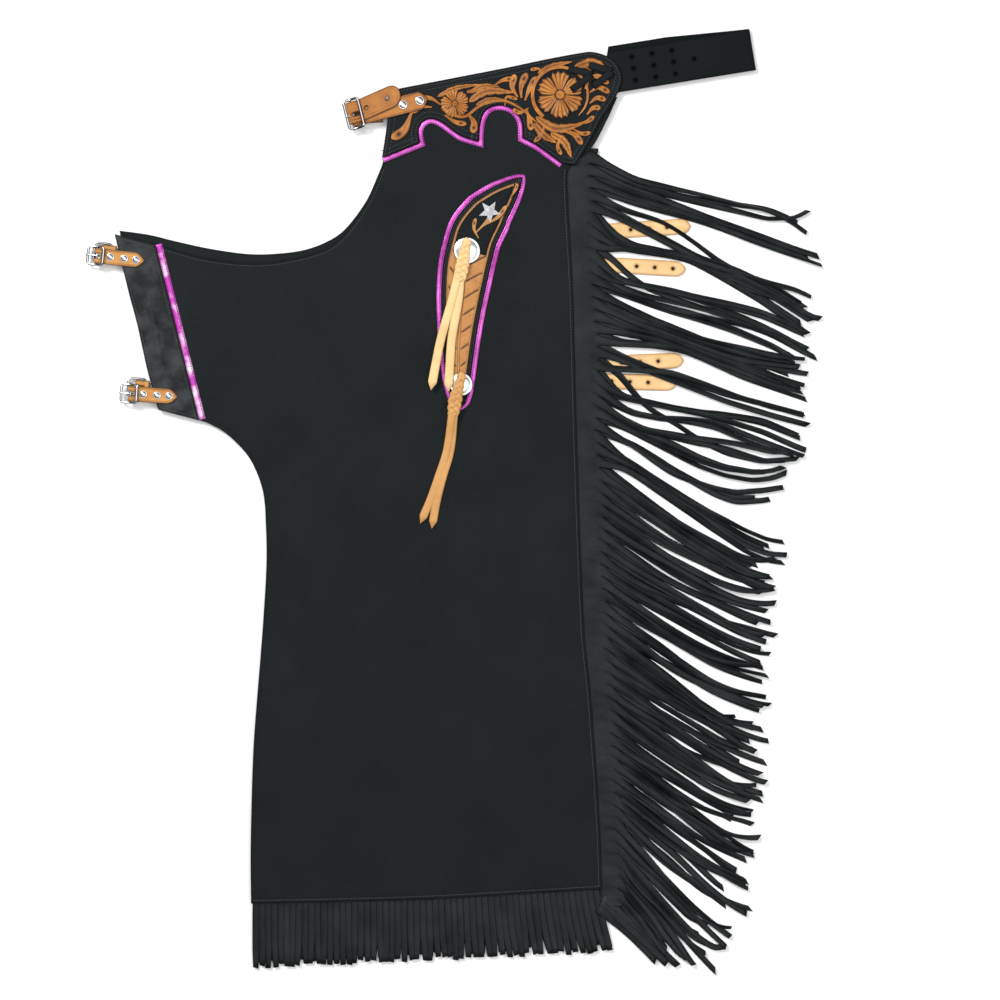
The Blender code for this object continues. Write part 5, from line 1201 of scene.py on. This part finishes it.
carved_tan = tooled_finish("carved tan leather", (0.008, 0.0026, 0.0008), (0.18, 0.046, 0.005), (0.64, 0.25, 0.045))
add_piece("yoke_carving", body[0], body[1], carved_tan, "tooled_leather",
          ["yoke_flower_large", "yoke_flower_small"] + ["yoke_leaf_%d" % i for i in range(1, 7)],
          tone=body[2], edge=np.zeros(len(body[2])))


# The front strap is fastened: a tan strap is riveted to the yoke and holds the buckle, and the
# stamped billet with its rounded end comes round the bar and lies back over it.
FRONT_BAR = (-110.6, 422.4, 10.05)
FRONT_ANGLE = 14.0
FRONT_RADIUS = 1.3
FRONT_PRONG = -1.4
PRONG_SLOT = 1.9


def seat(place, turn, flip=False, tilt=0.0):
    """Gives the directions of a buckle on its bar: along its strap, across it and up."""
    spin = Matrix.Rotation(math.radians(turn), 3, "Z")
    if flip:
        spin = spin @ Matrix.Rotation(math.pi, 3, "X")
    spin = np.array(spin @ Matrix.Rotation(math.radians(-tilt), 3, "Y"))

    def world(u, v, z):
        return np.stack([np.asarray(c, float) + 0.0 * np.asarray(u) for c in (u, v, z)], -1) @ spin.T + place
    return world


def wrap_rows(back, radius, near, tip):
    """Side view of a strap: out along its top, round the bar, and back below."""
    rows = [(tip, near), (6.5, near), (3.2, (near + radius) / 2.0 + 0.25)]
    for step in range(13):
        turn = math.radians(90.0 + 15.0 * step)
        rows.append((radius * math.cos(turn), radius * math.sin(turn)))
    return rows + [(3.2, -(near + radius) / 2.0 - 0.25), (6.5, -near), (back, -near)]


def slot_ring(start, end, middle, half):
    """Outline of a slot with rounded ends, with the leather on its left."""
    ring = []
    for centre, first in ((end - half, 90.0), (start + half, 270.0)):
        for step in range(7):
            turn = math.radians(first - 30.0 * step)
            ring.append((centre + half * math.cos(turn), middle + half * math.sin(turn)))
    return np.array(ring)


def add_chape(name, node, world, width, thick, bar, tip, back, point, finish, aside=0.0, prong=0.0, stamp=None):
    """Makes a strap folded round a buckle's bar, with its slot for the prong."""
    near = 0.15 + thick / 2.0
    rows = wrap_rows(back, bar + 0.3 + thick / 2.0, near, tip)
    end, place = strap_place(rows, thick, lambda s: aside + 0.0 * s, world, outer=-1.0)
    half = width / 2.0
    stations = fit_line(rows)[0]
    ring = [(end, -half), (end, half)]
    if point:
        ring += [(point, half), (0.66 * point, 0.87 * half), (0.31 * point, 0.5 * half), (0.0, 0.0)]
        ring += [(s, -v) for s, v in ring[-2:1:-1]]
    else:
        ring += [(0.0, half), (0.0, -half)]
    loops = [soften(np.array(ring), 1.4, 40.0), slot_ring(stations[1] - 0.5, stations[-2] + 0.5, prong - aside, PRONG_SLOT)]
    return cut_leather(name, loops, place, finish, "tooled_leather", (node,), grid=1.3, wear_and_shade=1.2, tone=stamp)


def border_tone(x, y, d):
    """Tone of a strap with a creased line inside its edge."""
    return 1.0 - 0.7 * np.exp(-((d - 2.1) / 0.45) ** 2)


def stamp_tone(x, y, d):
    """Tone of the billet's stamped panel: a basket of crossed dashes inside a creased border."""
    weave = np.sin(x * 1.5 + y * 1.5) * np.sin(x * 1.5 - y * 1.5)
    inner = np.clip((d - 4.2) / 0.8, 0.0, 1.0) * np.clip((x - 6.0) / 2.0, 0.0, 1.0) * np.clip((47.0 - x) / 2.0, 0.0, 1.0)
    return 1.0 - 0.75 * np.exp(-((d - 3.6) / 0.5) ** 2) - 0.5 * inner * (weave > 0.15)


strap_tan = tooled_finish("strap tan leather", (0.045, 0.014, 0.003), (0.30, 0.10, 0.016), (0.50, 0.20, 0.042), grain=1300.0, coat=0.12)
front_world = seat(FRONT_BAR, FRONT_ANGLE)
add_chape("front_strap_leather", "front_chape", front_world, 20.0, 1.8, FRONT_RADIUS, 83.5, 35.0, 10.0,
          strap_tan, aside=-3.6, prong=FRONT_PRONG, stamp=border_tone)
thick = 1.8
wrap = FRONT_RADIUS + 0.3 + thick + 0.3 + thick / 2.0
near = 0.15 + thick + 0.3 + thick / 2.0
rows = [(56.0, near), (7.5, near), (4.0, wrap - 0.5)]
for step in range(17):
    turn = math.radians(90.0 + 11.25 * step)
    rows.append((wrap * math.cos(turn), wrap * math.sin(turn)))
rows += [(12.0, -wrap - 0.8), (30.0, -wrap - 2.4)]
straight = 48.5
end, place = strap_place(rows, thick, lambda s: np.interp(s, (0.0, straight, straight + 26.0, straight + 60.0),
                                                         (10.0, 1.4, 0.6, -5.5)), front_world, outer=-1.0)
ring = [(end, -12.0), (end, 12.0)] + [(12.0 * (1.0 - math.sin(a)), 12.0 * math.cos(a))
                                      for a in np.linspace(0.0, math.pi / 2.0, 9)]
ring += [(s, -v) for s, v in ring[-2:1:-1]]
fold = fit_line(rows)[0][2] + 1.0
loops = [soften(np.array(ring), 1.6, 40.0), slot_ring(fold - 5.5, fold + 4.0, FRONT_PRONG - 0.9, PRONG_SLOT),
         hole(straight - 8.0, 0.0, 4.0), hole(straight - 33.0, 0.0, 4.0)]
cut_leather("front_billet_leather", loops, place, strap_tan, "tooled_leather", ("front_billet",), grid=1.0,
            wear_and_shade=1.3, tone=stamp_tone)


def rod(points, radii, sides, closed, across):
    """Rings of a rod along a path, with its faces."""
    points = np.array(points, float)
    ahead = np.roll(points, -1, 0) - np.roll(points, 1, 0)
    if not closed:
        ahead[0], ahead[-1] = points[1] - points[0], points[-1] - points[-2]
    ahead /= np.linalg.norm(ahead, axis=1)[:, None]
    side = np.cross(ahead, across)
    side /= np.linalg.norm(side, axis=1)[:, None]
    up = np.cross(side, ahead)
    turn = 2.0 * math.pi * np.arange(sides) / sides
    spots = points[:, None] + np.asarray(radii)[:, None, None] * (
        side[:, None] * np.cos(turn)[None, :, None] + up[:, None] * np.sin(turn)[None, :, None])
    count = len(points)
    faces = []
    for i in range(count if closed else count - 1):
        for k in range(sides):
            n = (k + 1) % sides
            j = (i + 1) % count
            faces.append((i * sides + k, i * sides + n, j * sides + n, j * sides + k))
    if not closed:
        faces += [tuple(range(sides)), tuple((count - 1) * sides + k for k in reversed(range(sides)))]
    return spots.reshape(-1, 3), faces


nickel, nodes, links, shader = new_material("polished nickel")
haze = nodes.new("ShaderNodeTexNoise")
haze.inputs["Scale"].default_value = 300.0
haze.inputs["Detail"].default_value = 4.0
# Painted shade and reflection: faces that turn away from straight up get a near-black colour, standing in for the dark
# surroundings that the metal's sides reflect; upward faces keep the bright metal colour.
turned_up = nodes.new("ShaderNodeSeparateXYZ")
links.new(nodes.new("ShaderNodeTexCoord").outputs["Normal"], turned_up.inputs[0])
painted_shade_by_facing = nodes.new("ShaderNodeMapRange")
painted_shade_by_facing.inputs["From Min"].default_value = 0.55
painted_shade_by_facing.inputs["From Max"].default_value = 0.98
links.new(turned_up.outputs["Z"], painted_shade_by_facing.inputs["Value"])
bright = mix_colours(nodes, links, haze.outputs[0], (0.46, 0.46, 0.48), (0.70, 0.70, 0.71))
links.new(mix_colours(nodes, links, painted_shade_by_facing.outputs[0], (0.02, 0.02, 0.023), bright), shader.inputs["Base Color"])
spread = nodes.new("ShaderNodeMapRange")
spread.inputs["To Min"].default_value, spread.inputs["To Max"].default_value = 0.12, 0.3
links.new(haze.outputs[0], spread.inputs["Value"])
links.new(spread.outputs[0], shader.inputs["Roughness"])
shader.inputs["Metallic"].default_value = 1.0
shader.inputs["Specular Tint"].default_value = (0.3, 0.3, 0.31, 1.0)


def add_metal(name, node, world, parts, body="chaps"):
    """Makes one metal piece from rods in a buckle's own directions."""
    points = np.zeros((0, 3))
    faces = []
    for spots, sides in parts:
        faces += [tuple(i + len(points) for i in face) for face in sides]
        points = np.concatenate((points, world(spots[:, 0], spots[:, 1], spots[:, 2])))
    piece = add_piece(name, points, faces, nickel, "nickel", (node,), body)
    shape = bmesh.new()
    shape.from_mesh(piece.data)
    bmesh.ops.recalc_face_normals(shape, faces=shape.faces)
    shape.to_mesh(piece.data)
    shape.free()
    return piece


def frame_parts(left, right, right_rise, rail, bar):
    """A rectangular buckle frame with rounded corners, and its middle bar."""
    loop = []
    for index, (u, v, su, sv) in enumerate(((right, rail, 1, 1), (left, rail, -1, 1), (left, -rail, -1, -1),
                                            (right, -rail, 1, -1))):
        for step in range(9):
            turn = math.radians(90.0 * index + 11.25 * step)
            loop.append((u - su * 3.0 + 3.0 * math.cos(turn), v - sv * 3.0 + 3.0 * math.sin(turn)))
        if index in (0, 2):
            loop += [(share, rail if index == 0 else -rail) for share in ((3.0, 0.0, -4.0) if index == 0 else (-4.0, 0.0, 3.0))]
    points = [(u, v, float(np.interp(u, (left, 0.0, 1.5, right - 1.0, right), (0.3, 0.0, 0.0, right_rise, right_rise))))
              for u, v in loop]
    radii = [bar + 0.1 + (0.25 if u > right - 0.2 or u < left + 0.2 else 0.0) for u, v in loop]
    return [rod(points, radii, 12, True, (0.0, 0.0, 1.0)),
            rod([(0.0, -rail, 0.0), (0.0, rail, 0.0)], [bar, bar], 12, False, (0.0, 0.0, 1.0))]


def prong_parts(left, bar, radius, aside):
    """A prong: its eye round the bar and its tapered shank."""
    eye = bar + 0.3 + radius
    points = [(eye * math.cos(math.radians(a)), aside, eye * math.sin(math.radians(a))) for a in range(-120, 91, 15)]
    rest = 0.3 + bar + 0.1 + 0.3 + radius
    points += [(left * share, aside, eye + (rest - eye) * share) for share in (0.25, 0.5, 0.75)]
    points += [(left, aside, rest), (left - 1.0, aside, rest), (left - 1.8, aside, rest - 0.1)]
    radii = [radius] * (len(points) - 3) + [radius * 0.9, radius * 0.75, radius * 0.45]
    return [rod(points, radii, 10, False, (0.0, 1.0, 0.0))]


def dome_parts(radius, rows, place, sides=28):
    """A turned piece: rings of radius share and height, from the top's middle to its foot."""
    spots = []
    for share, height in rows:
        for k in range(sides):
            turn = 2.0 * math.pi * k / sides
            spots.append((place[0] + radius * share * math.cos(turn), place[1] + radius * share * math.sin(turn),
                          place[2] + height))
    faces = [(i * sides + k, i * sides + (k + 1) % sides, (i + 1) * sides + (k + 1) % sides, (i + 1) * sides + k)
             for i in range(len(rows) - 1) for k in range(sides)]
    faces += [tuple(reversed(range(sides))), tuple((len(rows) - 1) * sides + k for k in range(sides))]
    return [(np.array(spots), faces)]


RIVET = ((0.02, 1.5), (0.25, 1.43), (0.48, 1.2), (0.66, 0.85), (0.76, 0.5), (0.8, 0.34), (0.86, 0.4), (0.95, 0.34),
         (1.0, 0.18), (1.0, 0.0))
rise = near + thick / 2.0 + 0.3 + FRONT_RADIUS + 0.1
left = -(wrap + thick / 2.0 + 0.3 + FRONT_RADIUS + 0.3)
add_metal("front_buckle_frame", "front_frame", front_world, frame_parts(left, 9.0, rise, 15.9, FRONT_RADIUS))
add_metal("front_buckle_prong", "front_prong", front_world, prong_parts(left, FRONT_RADIUS, 1.0, FRONT_PRONG))
for index, u in enumerate((55.6, 74.6), start=1):
    add_metal("front_rivet_head_%d" % index, "front_rivet_%d" % index, front_world,
              dome_parts(4.9, RIVET, (u, -3.6, 2.25)))


# Four thigh buckles close the legs. Each hangs in a tan strap that is folded round its bar and
# riveted to the facing. The top leg's two lie open, and the under leg's peep out behind them.
LEG_BUCKLES = (    # name, bar x and y, direction, length to the tip, length below, rivets along it
    ("upper", -391.6, 267.0, -6.3, 52.8, 22.0, (14.8, 30.2, 43.2)),
    ("lower", -354.9, 115.7, -4.0, 52.0, 22.7, (14.2, 29.4, 42.4)))
UNDER_BUCKLES = ((6.6, 4.0, 13.9), (7.6, 6.6, 12.6))    # shift of the bar, strap length

leg_rise = 0.15 + 1.6 + 0.3 + 1.1 + 0.1
thigh_tan = tooled_finish("thigh strap tan leather", (0.055, 0.016, 0.004), (0.40, 0.15, 0.025), (0.66, 0.33, 0.085),
                          grain=1300.0, coat=0.12)
for (name, x, y, turn, tip, back, rivets), (shift_x, shift_y, length) in zip(LEG_BUCKLES, UNDER_BUCKLES):
    level = seat((x, y, 9.6), turn)
    tilted = seat((x, y, 9.6), turn, tilt=12.0)
    add_chape("thigh_strap_" + name, "leg_chape_" + name, level, 16.5, 1.6, 1.1, tip, back, 11.5, thigh_tan,
              stamp=border_tone)
    add_metal("thigh_buckle_" + name, "leg_frame_" + name, tilted, frame_parts(-10.5, 8.0, leg_rise, 9.85, 1.1),
              "frame_" + name)
    add_metal("thigh_prong_" + name, "leg_prong_" + name, tilted, prong_parts(-10.5, 1.1, 0.9, 0.0), "prong_" + name)
    for index, u in enumerate(rivets, start=1):
        add_metal("thigh_rivet_%s_%d" % (name, index), "leg_rivet_%s_%d" % (name, index), level,
                  dome_parts(4.2, RIVET, (u, 0.0, 2.05)))
    below = seat((x + shift_x, y + shift_y, 4.55), turn, flip=True)
    add_chape("under_strap_" + name, "under_chape_" + name, below, 16.5, 1.6, 1.1, length, length, 0.0, thigh_tan)
    add_metal("under_buckle_" + name, "under_frame_" + name, below, frame_parts(-10.5, 8.0, leg_rise - 0.2, 9.85, 1.1))
    add_metal("under_pin_" + name, "under_prong_" + name, below, prong_parts(-10.5, 1.1, 0.9, 0.0))


# Four straps of pale golden leather pass under the side fringe to the thigh buckles. They have
# rounded tips and punched holes, and lie flat on the table. A thin black disc on the table under
# each hole is painted shade: it stands in for the shade inside the hole.
pale_strap = leather_finish("pale strap leather", (0.62, 0.37, 0.14), (0.84, 0.60, 0.30), (0.40, 0.19, 0.055),
                            rough=(0.4, 0.55), grain=1300.0, bump=0.15, clouds=40.0, gloss=0.35, wear_and_shade=0.8)
for name, flat, area in (("strap_upper", 0.0965, 0.0015), ("strap_lower", 0.085, 0.0013),
                         ("strap_under_upper", 0.109, 0.0017), ("strap_under_lower", 0.097, 0.0015)):
    loops = [soften(loop, 1.2, 50.0) for loop in cut_lines(name)]
    piece = cut_leather("holed_" + name, loops, lay(0.3, 1.6, 0.2), pale_strap, "strap_leather", (name,), grid=1.8)
    # Painted shade: a thin black disc lies on the table under each hole.
    hole_shade_discs = [dome_parts(3.0, ((0.02, 0.2), (0.6, 0.2), (0.95, 0.16), (1.0, 0.0)), (*loop.mean(0), 0.08), 16)[0]
             for loop in loops[1:]]
    points = np.concatenate([spots for spots, sides in hole_shade_discs])
    faces = [tuple(i + index * len(hole_shade_discs[0][0]) for i in face) for index, (spots, sides) in enumerate(hole_shade_discs)
             for face in sides]
    add_piece("hole_shade_disc_" + name, points, faces, fringe_leather, "black_leather")


# A long leaf is applied to the thigh: a pink foil ring, a black base with two rows of stitches, and
# a carved tan overlay with a dark inlay at its upper end that carries a grey star.
LEAF_SPINE = ((7.0, 97.0), (5.0, 152.0), (8.0, 208.0), (14.5, 258.0), (29.0, 302.0), (78.0, 356.0))
OVERLAY_Z = 9.3
leaf_line = even_line(LEAF_SPINE, 160)
leaf_side = normals_of(leaf_line)


def leaf_spot(x, y):
    """Share along the leaf's middle line and distance to its left."""
    spots = np.stack((x, y), 1)
    nearest = np.empty(len(spots), int)
    for start in range(0, len(spots), 4000):
        part = slice(start, start + 4000)
        nearest[part] = ((spots[part, None] - leaf_line[None]) ** 2).sum(2).argmin(1)
    away = spots - leaf_line[nearest]
    ahead = np.stack((leaf_side[nearest, 1], -leaf_side[nearest, 0]), 1)
    share = nearest / 159.0 + (away * ahead).sum(1) / 295.0
    return share, (away * leaf_side[nearest]).sum(1)


def leaf_vein(x, y, d):
    """Depth of the cut veins, from 0 to 1."""
    share, aside = leaf_spot(x, y)
    rib = np.exp(-((np.abs(aside) - 1.2) / 0.5) ** 2)
    wave = (share * 15.0 - np.abs(aside) * 0.042) % 1.0
    veins = np.exp(-((wave - 0.5) / 0.085) ** 2) * np.clip((np.abs(aside) - 1.5) / 1.5, 0.0, 1.0)
    fine = 0.45 * np.exp(-((((share * 60.0 - np.abs(aside) * 0.17) % 1.0) - 0.5) / 0.2) ** 2)
    fine = fine * np.clip((np.abs(aside) - 2.0) / 3.0, 0.0, 1.0)
    return np.maximum.reduce((rib, veins, fine)) * np.clip((d - 2.2) / 0.8, 0.0, 1.0)


def overlay_height(x, y, d):
    """Height of the tan overlay over its base, domed between its edges and along its rib."""
    share, aside = leaf_spot(x, y)
    return 1.2 + 0.45 * (1.0 - np.exp(-d / 4.0)) + 0.25 * np.exp(-(aside / 2.0) ** 2) * np.clip(d / 2.0, 0.0, 1.0)


def overlay_place(x, y, h, d):
    """The carved overlay."""
    cut = 0.55 * leaf_vein(x, y, d) + 0.4 * np.exp(-((d - 2.0) / 0.45) ** 2)
    return np.stack((x, y, OVERLAY_Z + (overlay_height(x, y, d) - cut) * h), 1)


ring_loops = [soften(loop, 2.0, 40.0) for loop in cut_lines("leaf_piping")]
cut_leather("leaf_foil_ring", ring_loops, lay(OVERLAY_BASE, 1.0, 0.5), pink_foil, "pink_foil", ("leaf_piping",), grid=1.7)
sew("leaf_foil_stitches", [shifted(ring_loops[0], 3.6)], lambda x, y: np.full(len(x), OVERLAY_BASE + 1.55),
    thread_pink, "pink_foil", pitch=2.8, length=1.8, thick=0.95, closed=True)
base_loops = [soften(loop, 2.0, 40.0) for loop in cut_lines("leaf_base")]


def base_place(x, y, h, d):
    """The leaf's black base, pulled in at its two rows of stitches."""
    groove = 0.25 * (np.exp(-((d - 1.5) / 0.5) ** 2) + np.exp(-((d - 3.6) / 0.5) ** 2))
    return np.stack((x, y, OVERLAY_BASE + (1.5 - groove) * h), 1)


leaf_ground = cut_leather("leaf_base_leather", base_loops, base_place, black_grain, "black_leather", ("leaf_base",), grid=2.2,
            rows=(1.0, 1.5, 2.0, 3.1, 3.6, 4.1))
sew("leaf_base_stitches", [shifted(base_loops[0], 1.5), shifted(base_loops[0], 3.6)],
    lambda x, y: np.full(len(x), OVERLAY_BASE + 1.3), thread_black, "black_leather", pitch=2.8, length=1.9,
    thick=0.65, closed=True)
overlay_loops = [soften(loop, 1.8, 40.0) for loop in cut_lines("leaf_overlay")]
carved_leaf = tooled_finish("carved leaf leather", (0.022, 0.007, 0.002), (0.38, 0.15, 0.038), (0.56, 0.27, 0.085))
leaf_cover = cut_leather("leaf_overlay_leather", overlay_loops, overlay_place, carved_leaf, "tooled_leather", ("leaf_overlay",),
            grid=0.95, rows=(1.6, 2.1, 2.6), wear_and_shade=1.0, tone=lambda x, y, d: 1.0 - 0.95 * leaf_vein(x, y, d)
            - 0.7 * np.exp(-((d - 2.0) / 0.45) ** 2))
inlay = shifted(overlay_loops[0], 2.6)
inlay = inlay[leaf_spot(inlay[:, 0], inlay[:, 1])[0] > 0.62]


def inlay_place(x, y, h, d):
    """The dark inlay, which follows the overlay's height."""
    depth = edge_distance(np.stack((x, y), 1), overlay_loops)
    return np.stack((x, y, OVERLAY_Z + overlay_height(x, y, depth) + 0.3 * h - 0.1), 1)


cut_leather("leaf_dark_inlay", [soften(inlay, 2.0, 40.0)], inlay_place, black_grain, "black_leather", (), grid=2.0)
body = ([], [], [])
for points, half, lobes in ((((24.0, 292.0), (38.0, 307.0), (44.0, 322.0)), 3.0, 3), (((33.0, 300.0), (48.0, 309.0), (58.0, 322.0)), 3.0, 3),
                            (((27.0, 286.0), (22.0, 297.0), (24.0, 308.0)), 2.6, 2), (((62.0, 331.0), (67.0, 338.0), (70.0, 346.0)), 2.2, 2)):
    carve_leaf(body, points, half, 1.0, OVERLAY_Z + 1.75, lobes)
add_piece("leaf_inlay_carving", body[0], body[1], carved_leaf, "tooled_leather", tone=body[2], edge=np.zeros(len(body[2])))
star_metal, nodes, links, shader = new_material("brushed grey metal")
brush = nodes.new("ShaderNodeTexNoise")
brush.inputs["Scale"].default_value = 900.0
links.new(mix_colours(nodes, links, brush.outputs[0], (0.26, 0.27, 0.28), (0.46, 0.47, 0.48)), shader.inputs["Base Color"])
shader.inputs["Metallic"].default_value = 0.7
shader.inputs["Roughness"].default_value = 0.42
frame["nodes"]["leaf_star"].data.materials.clear()
frame["nodes"]["leaf_star"].data.materials.append(star_metal)


# Two domed silver conchos hold lace ties on the leaf. Each tie comes through its concho, is plaited
# from three strands, and ends in two flat tails with pointed ends.
CONCHO_Z = 11.5
CONCHOS = (("concho_upper", 14.3, 272.5, 14.6), ("concho_lower", 8.0, 125.7, 12.6))
TIES = (           # name, braid (x, y, width), two tails, tail width, lift, settles, two colours
    ("tie_upper", ((14.0, 283.0, 9.0), (11.5, 268.0, 13.0), (8.5, 252.0, 15.5), (6.2, 240.0, 13.0)),
     ((4.6, 246.0), (-2.5, 217.0), (-13.6, 177.7), (-19.4, 150.0), (-23.5, 128.0)),
     ((7.6, 246.0), (5.0, 217.0), (-2.0, 177.7), (-4.2, 150.0), (-5.6, 126.0)), 10.0, 1.3, False,
     (0.70, 0.42, 0.16), (0.85, 0.62, 0.31)),
    ("tie_lower", ((8.5, 136.0, 9.0), (5.8, 124.0, 11.0), (1.5, 108.0, 15.5), (-0.8, 92.0, 12.5)),
     ((-1.8, 95.0), (-7.6, 54.0), (-16.4, 26.0), (-25.4, 0.0), (-33.5, -19.0)),
     ((0.6, 95.0), (-3.6, 54.0), (-11.6, 26.0), (-18.4, 0.0), (-22.8, -24.0)), 9.2, 0.0, True,
     (0.46, 0.21, 0.06), (0.68, 0.38, 0.13)))
DOME = ((0.02, 2.3), (0.2, 2.26), (0.4, 2.06), (0.6, 1.66), (0.74, 1.22), (0.8, 0.98), (0.83, 0.86), (0.87, 0.94),
        (0.93, 0.98), (0.98, 0.86), (1.0, 0.55), (1.0, 0.0))


def add_band(body, line, halves, thick, tip=0.0):
    """Adds one flat lace along a line in space, with rounded edges and an optional pointed end."""
    line = np.asarray(line, float)
    side = normals_of(line)
    rows = ((-1.0, 0.5), (-0.9, 0.85), (-0.5, 1.0), (0.0, 1.02), (0.5, 1.0), (0.9, 0.85), (1.0, 0.5), (0.9, 0.1),
            (0.0, 0.05), (-0.9, 0.1))
    ahead = np.stack((side[:, 1], -side[:, 0]), 1)
    first = len(body[0])
    for i in range(len(line)):
        for v, h in rows:
            reach = tip * (1.0 - abs(v)) if i == len(line) - 1 else 0.0
            x, y = line[i, :2] + side[i] * halves[i] * v + ahead[i] * reach
            body[0].append((x, y, line[i, 2] + h * thick))
            # Lace edges get the edge value: partly edge wear, partly painted shade.
            body[2].append(1.0 if abs(v) > 0.95 else 0.3 if abs(v) > 0.8 else 0.0)
    size = len(rows)
    for i in range(len(line) - 1):
        for k in range(size):
            n = (k + 1) % size
            a = first + i * size
            body[1].append((a + k, a + size + k, a + size + n, a + n))
    body[1].append(tuple(first + k for k in range(size)))
    body[1].append(tuple(first + (len(line) - 1) * size + k for k in reversed(range(size))))


for (concho, x, y, radius), (name, braid, first_tail, second_tail, width, lift, settles, dark, light) in zip(CONCHOS, TIES):
    add_metal(concho + "_dome", concho, seat((x, y, CONCHO_Z), 0.0), dome_parts(radius, DOME, (0.0, 0.0, 0.0), 48))
    lace = leather_finish(name + " lace leather", dark, light, tuple(c * 0.62 for c in dark), rough=(0.45, 0.6),
                          grain=1200.0, bump=0.2, clouds=50.0, gloss=0.3, wear_and_shade=0.8)
    top_y, foot_y = braid[0][1], braid[-1][1]

    def drape(ys):
        """Height of the lace's underside, from the concho's top down to the leather."""
        along = (top_y - ys) / (top_y - foot_y)
        low = CONCHO_Z + np.interp(along, (0.0, 0.35, 0.6, 0.8, 1.02), (2.5, 2.5, 2.0, 1.3, 0.1))
        if settles:
            share = np.clip((92.0 - ys) / 28.0, 0.0, 1.0)
            low = low - (CONCHO_Z - OVERLAY_BASE - 0.1) * share * share * (3.0 - 2.0 * share)
        return low + np.interp(ys, (second_tail[-1][1] + 7.0, second_tail[-1][1] + 24.0), (lift, 0.0))
    body = ([], [], [])
    path = even_line(braid, 80)
    side = normals_of(path)
    for strand in range(3):
        turn = np.linspace(0.0, 2.0 * math.pi * 2.1, 80) + 2.0 * math.pi * strand / 3.0
        spread = path[:, 2] * 0.27
        flat = path[:, :2] + side * (np.sin(turn) * spread)[:, None]
        high = drape(path[:, 1]) + 0.25 + 0.85 * (1.0 + np.sin(2.0 * turn)) * 0.7
        add_band(body, np.column_stack((flat, high)), path[:, 2] * 0.24, 1.5)
    loop = even_line(((braid[0][0] - 2.0, braid[0][1] - 6.0), (braid[0][0] - 0.5, braid[0][1] + 1.5), (braid[0][0] + 4.0, braid[0][1] - 4.0)), 20)
    add_band(body, np.column_stack((loop, np.full(20, drape(np.array([top_y]))[0] + 1.6))), np.full(20, 2.4), 1.4)
    for index, tail in enumerate((first_tail, second_tail)):
        line = even_line(tail, 60)
        half = np.full(60, width / 2.0) * np.linspace(0.92, 1.0, 60)
        over = 0.85 * (index == 0) * np.clip(1.0 - np.linspace(0.0, 1.6, 60), 0.0, 1.0)
        add_band(body, np.column_stack((line, drape(line[:, 1]) + 0.15 + over)), half, 1.5, tip=9.0)
    add_piece(name + "_lace", body[0], body[1], lace, "lace_leather", (name,), edge=body[2])


# Two flat black thongs lace the yoke to the belt. Each lies in a V over the carving and goes down
# through slits in both leathers at its ends and at its turn.
THONGS = (((125.4, 472.3), (152.4, 465.5), (128.5, 448.0)), ((147.7, 476.0), (174.4, 469.2), (152.4, 451.8)))
body = ([], [], [])
for first, turn, last in THONGS:
    for order, (start, end) in enumerate(((first, turn), (last, turn))):
        line = np.linspace(start, end, 26)
        run = np.hypot(*(line - line[0]).T)
        rise = np.sqrt(np.clip(np.minimum(run, run[-1] - run) / 3.0, 0.0, 1.0))
        add_band(body, np.column_stack((line, YOKE_TOP - 0.7 + (2.3 + 0.8 * order) * rise)), np.full(26, 3.9), 1.1)
add_piece("yoke_thongs", body[0], body[1], black_grain, "black_leather", edge=body[2])
